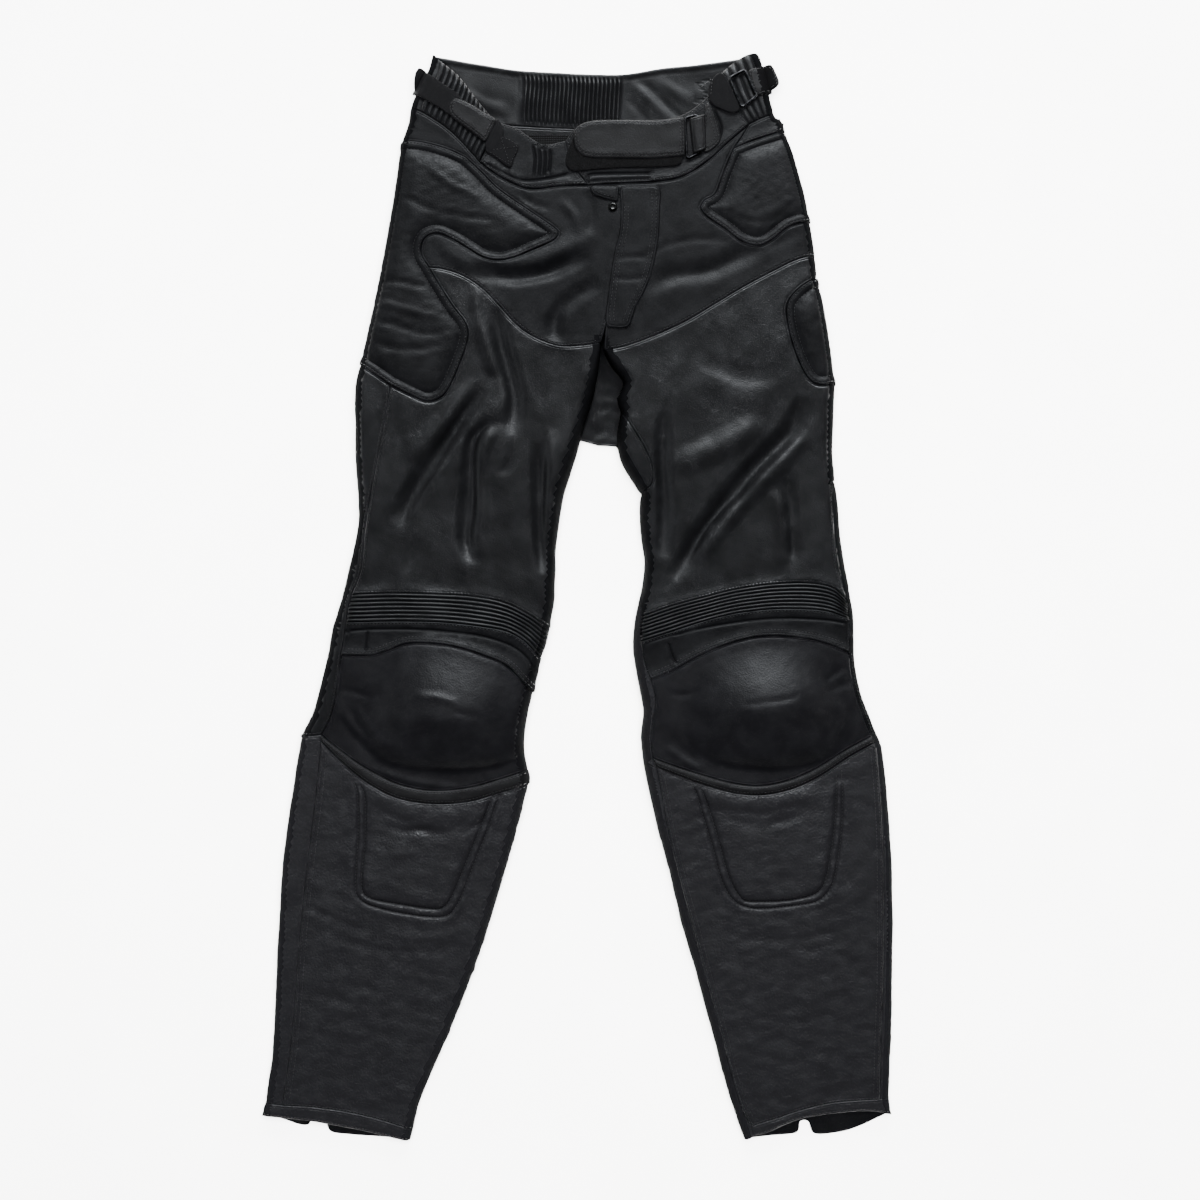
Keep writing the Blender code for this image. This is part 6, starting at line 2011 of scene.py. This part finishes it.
PAIRED = {
    "fly_placket": (
        ((624, 212), (623, 234), (618, 256), (614.5, 276), (611.5, 300), (609.5, 318), (611, 327)),
        ((628, 212), (627, 234), (622, 256), (618.5, 276), (615.5, 300), (613.5, 318), (614.5, 326)),
        ((655, 196), (655.5, 216), (654.5, 240), (649, 270), (640, 296), (630, 316), (626, 328)),
        ((651, 196), (651.5, 216), (650.5, 240), (645, 270), (636, 296), (626, 316), (622, 328)),
    ),
    "fly_top": (((594, 196), (604, 201), (616, 203.5)),),
    "side_patch_left": (
        ((494, 147.5), (502, 143), (518, 152), (511, 171)), ((511, 171), (498, 162.5), (489, 156.5)),
        ((502, 143.5), (511, 170)), ((517, 153), (492, 156)),
    ),
    "webbing_right": (((697, 96), (712, 84)), ((711, 85), (709, 104)),),
    "strap_patch_right": (
        ((706, 113.5), (709, 112.5), (717, 141), (715, 149), (705, 156)), ((703.5, 140), (706, 114)),
        ((706.5, 114), (715, 148)), ((716, 141), (704.5, 154)),
    ),
}
# Loops of stitches this far inside a layer's outline
LOOP_ROWS = {"closing_tab": (2.4, 4.6), "side_tab_left": (2.2, 4.2), "side_tab_right": (2.2,)}


def surface(name, points):
    """The places on a piece's upper surface, and its outward directions."""
    height, normal = front_skin(points)
    lift = layer_lift(name, points) if name in LAYER_FORMS else panel_lift(name, points)
    return np.column_stack([points, height]) + normal * lift[:, None], normal


def offset_row(name, part, distance):
    """A row inside a panel at a distance from one of its lines."""
    run = sampled(LINES[part], 1.5)
    outline = panel_outline(name)
    row = run + square_to(run) * distance
    if inside(row, outline).mean() < 0.5:
        row = run - square_to(run) * distance
    kept = inside(row, outline) & (seam_distance(name, row) > 0.75 * (distance - SEAM_GAP / 2))
    return row[kept]


def stitch_ends(row):
    """Where each stitch of a row starts and ends."""
    step = np.linalg.norm(np.diff(row, axis=0), axis=1)
    breaks = np.nonzero(step > 6)[0] + 1
    starts, ends = [], []
    for part in np.split(row, breaks):
        if len(part) < 2 or measured(part) < 2 * PITCH:
            continue
        first = np.arange(0.3, lengths(part)[-1] - STITCH, PITCH)
        starts.append(points_at(part, first))
        ends.append(points_at(part, first + STITCH))
    if not starts:
        return np.zeros((0, 2)), np.zeros((0, 2))
    return np.vstack(starts), np.vstack(ends)


def sew(name, rows):
    """All the stitches on one piece, as one object."""
    pairs = [stitch_ends(row) for row in rows if len(row) > 1]
    starts, ends = (np.vstack([pair[k] for pair in pairs]) for k in (0, 1))
    a, out_a = surface(name, starts)
    b, out_b = surface(name, ends)
    out = (out_a + out_b) / np.linalg.norm(out_a + out_b, axis=1, keepdims=True)
    ahead = (b - a) / np.maximum(np.linalg.norm(b - a, axis=1, keepdims=True), 1e-6)
    aside = np.cross(ahead, out)
    rings = []
    for share in (0.22, 0.78):
        middle = a + share * (b - a) + STITCH_RISE * out
        rings += [middle + THREAD_RADIUS * way for way in (aside, out, -aside, -out)]
    places = np.stack([a - STITCH_DIP * out, *rings, b - STITCH_DIP * out], axis=1)
    faces = []
    for k in range(4):
        n = (k + 1) % 4
        faces += [(0, 1 + n, 1 + k), (1 + k, 1 + n, 5 + n), (1 + k, 5 + n, 5 + k), (9, 5 + k, 5 + n)]
    faces = (np.array(faces)[None] + 10 * np.arange(len(a))[:, None, None]).reshape(-1, 3)
    flat = places.reshape(-1, 3)
    piece = new_mesh(f"stitches_{name}", to_metres(flat[:, :2], flat[:, 2]), faces, THREAD)
    return len(a)


ROWS = {}
for name, parts in SEAM_ROWS.items():
    ROWS[name] = []
    for seam, *distances in (part.split() for part in parts.split(", ")):
        ROWS[name] += [offset_row(name, seam, float(distance)) for distance in distances]
for name, routes in SHIN_PADS.items():
    ROWS[name] += [sampled(route, 1.5) for route in routes]
for name, routes in PAIRED.items():
    ROWS[name] = [sampled(route, 1.5) for route in routes]
for name, depths in LOOP_ROWS.items():
    outline = LAYER_FORMS[name][2]
    ROWS[name] = [np.vstack([loop, loop[:1]]) for loop in (inset(outline, depth) for depth in depths)]
stitch_count = sum(sew(name, rows) for name, rows in ROWS.items())
print(stitch_count, "stitches on", len(ROWS), "pieces")

# %% [markdown]
# ## Floor and light
#
# The garment was photographed on a pale floor in soft daylight that falls from high beyond the waist.
# Leather that lies flat over the hips mirrors the space beside the window, which is dark, and only
# slopes that face the waist by 15 to 30 degrees catch the window: that is what draws the folds and the
# knees. The ceiling light whitens the floor and is kept out of the gloss, as a room's own bounce would
# be. It greys the shins through their coarser, duller leather, whose black is also painted lighter:
# painted light that brightens the shins.

# %% Floor and light
FLOOR_REACH = 4.0
FLOOR_DROP = -0.0004


def make_floor():
    finish, tree, shader, place = start_material("pale floor")
    tint = span(tree, noise(tree, place, Scale=9.0, Detail=4.0), 0.3, 0.7)
    dress(tree, shader, Base_Color=blend(tree, tint, (0.875, 0.873, 0.869), (0.90, 0.898, 0.895)),
          Roughness=0.6)
    mesh = bpy.data.meshes.new("floor")
    corners = ((-1, -1), (1, -1), (1, 1), (-1, 1))
    mesh.from_pydata([(x * FLOOR_REACH, y * FLOOR_REACH, FLOOR_DROP) for x, y in corners], [],
                     [(0, 1, 2, 3)])
    mesh.materials.append(finish)
    floor = bpy.data.objects.new("floor", mesh)
    bpy.context.collection.objects.link(floor)


DAYLIGHT, ROOM_LIGHT = (0.92, 0.96, 1.0), (1.0, 0.995, 0.985)
# Name, place, width and height, watts, and whether it shows in the gloss
LIGHTS = (
    ("window_light", (0.35, 4.2, 2.75), (2.4, 1.3), 520, True),
    ("left_wall_light", (-3.4, 0.4, 1.7), (2.2, 1.0), 16, True),
    ("ceiling_light", (0.1, 0.3, 3.3), (2.6, 2.6), 1300, False),
)


def soft_light(name, place, size, watts, mirrored):
    """A rectangular soft light that looks at the garment."""
    data = bpy.data.lights.new(name, "AREA")
    data.shape = "RECTANGLE"
    data.size, data.size_y = size
    data.energy = watts
    data.color = DAYLIGHT if mirrored else ROOM_LIGHT
    light = bpy.data.objects.new(name, data)
    light.location = place
    light.rotation_euler = (-Vector(place)).to_track_quat("-Z", "Y").to_euler()
    light.visible_glossy = mirrored
    bpy.context.collection.objects.link(light)


make_floor()
for light in LIGHTS:
    soft_light(*light)
sky = bpy.data.worlds.new("pale room")
sky.use_nodes = True
room = sky.node_tree.nodes["Background"]
feed(sky.node_tree, room, {"Color": (0.94, 0.97, 1.0, 1), "Strength": 0.04})
bpy.context.scene.world = sky
print("floor, three soft lights and a dim room")

# %% [markdown]
# ## The cut of each piece
#
# Every leather piece is a sheet with a flat cut, and the foam-backed ones are padded. The cut of each
# sheet was measured as it was made, and is printed here.

for name, (width, length, area) in sorted(CUTS.items()):
    print(f"{name}: cut {width * 1000:.0f} x {length * 1000:.0f} mm, {area * 1e4:.0f} cm2")
print("whole cut of the sheets", round(sum(cut[2] for cut in CUTS.values()), 3), "m2")
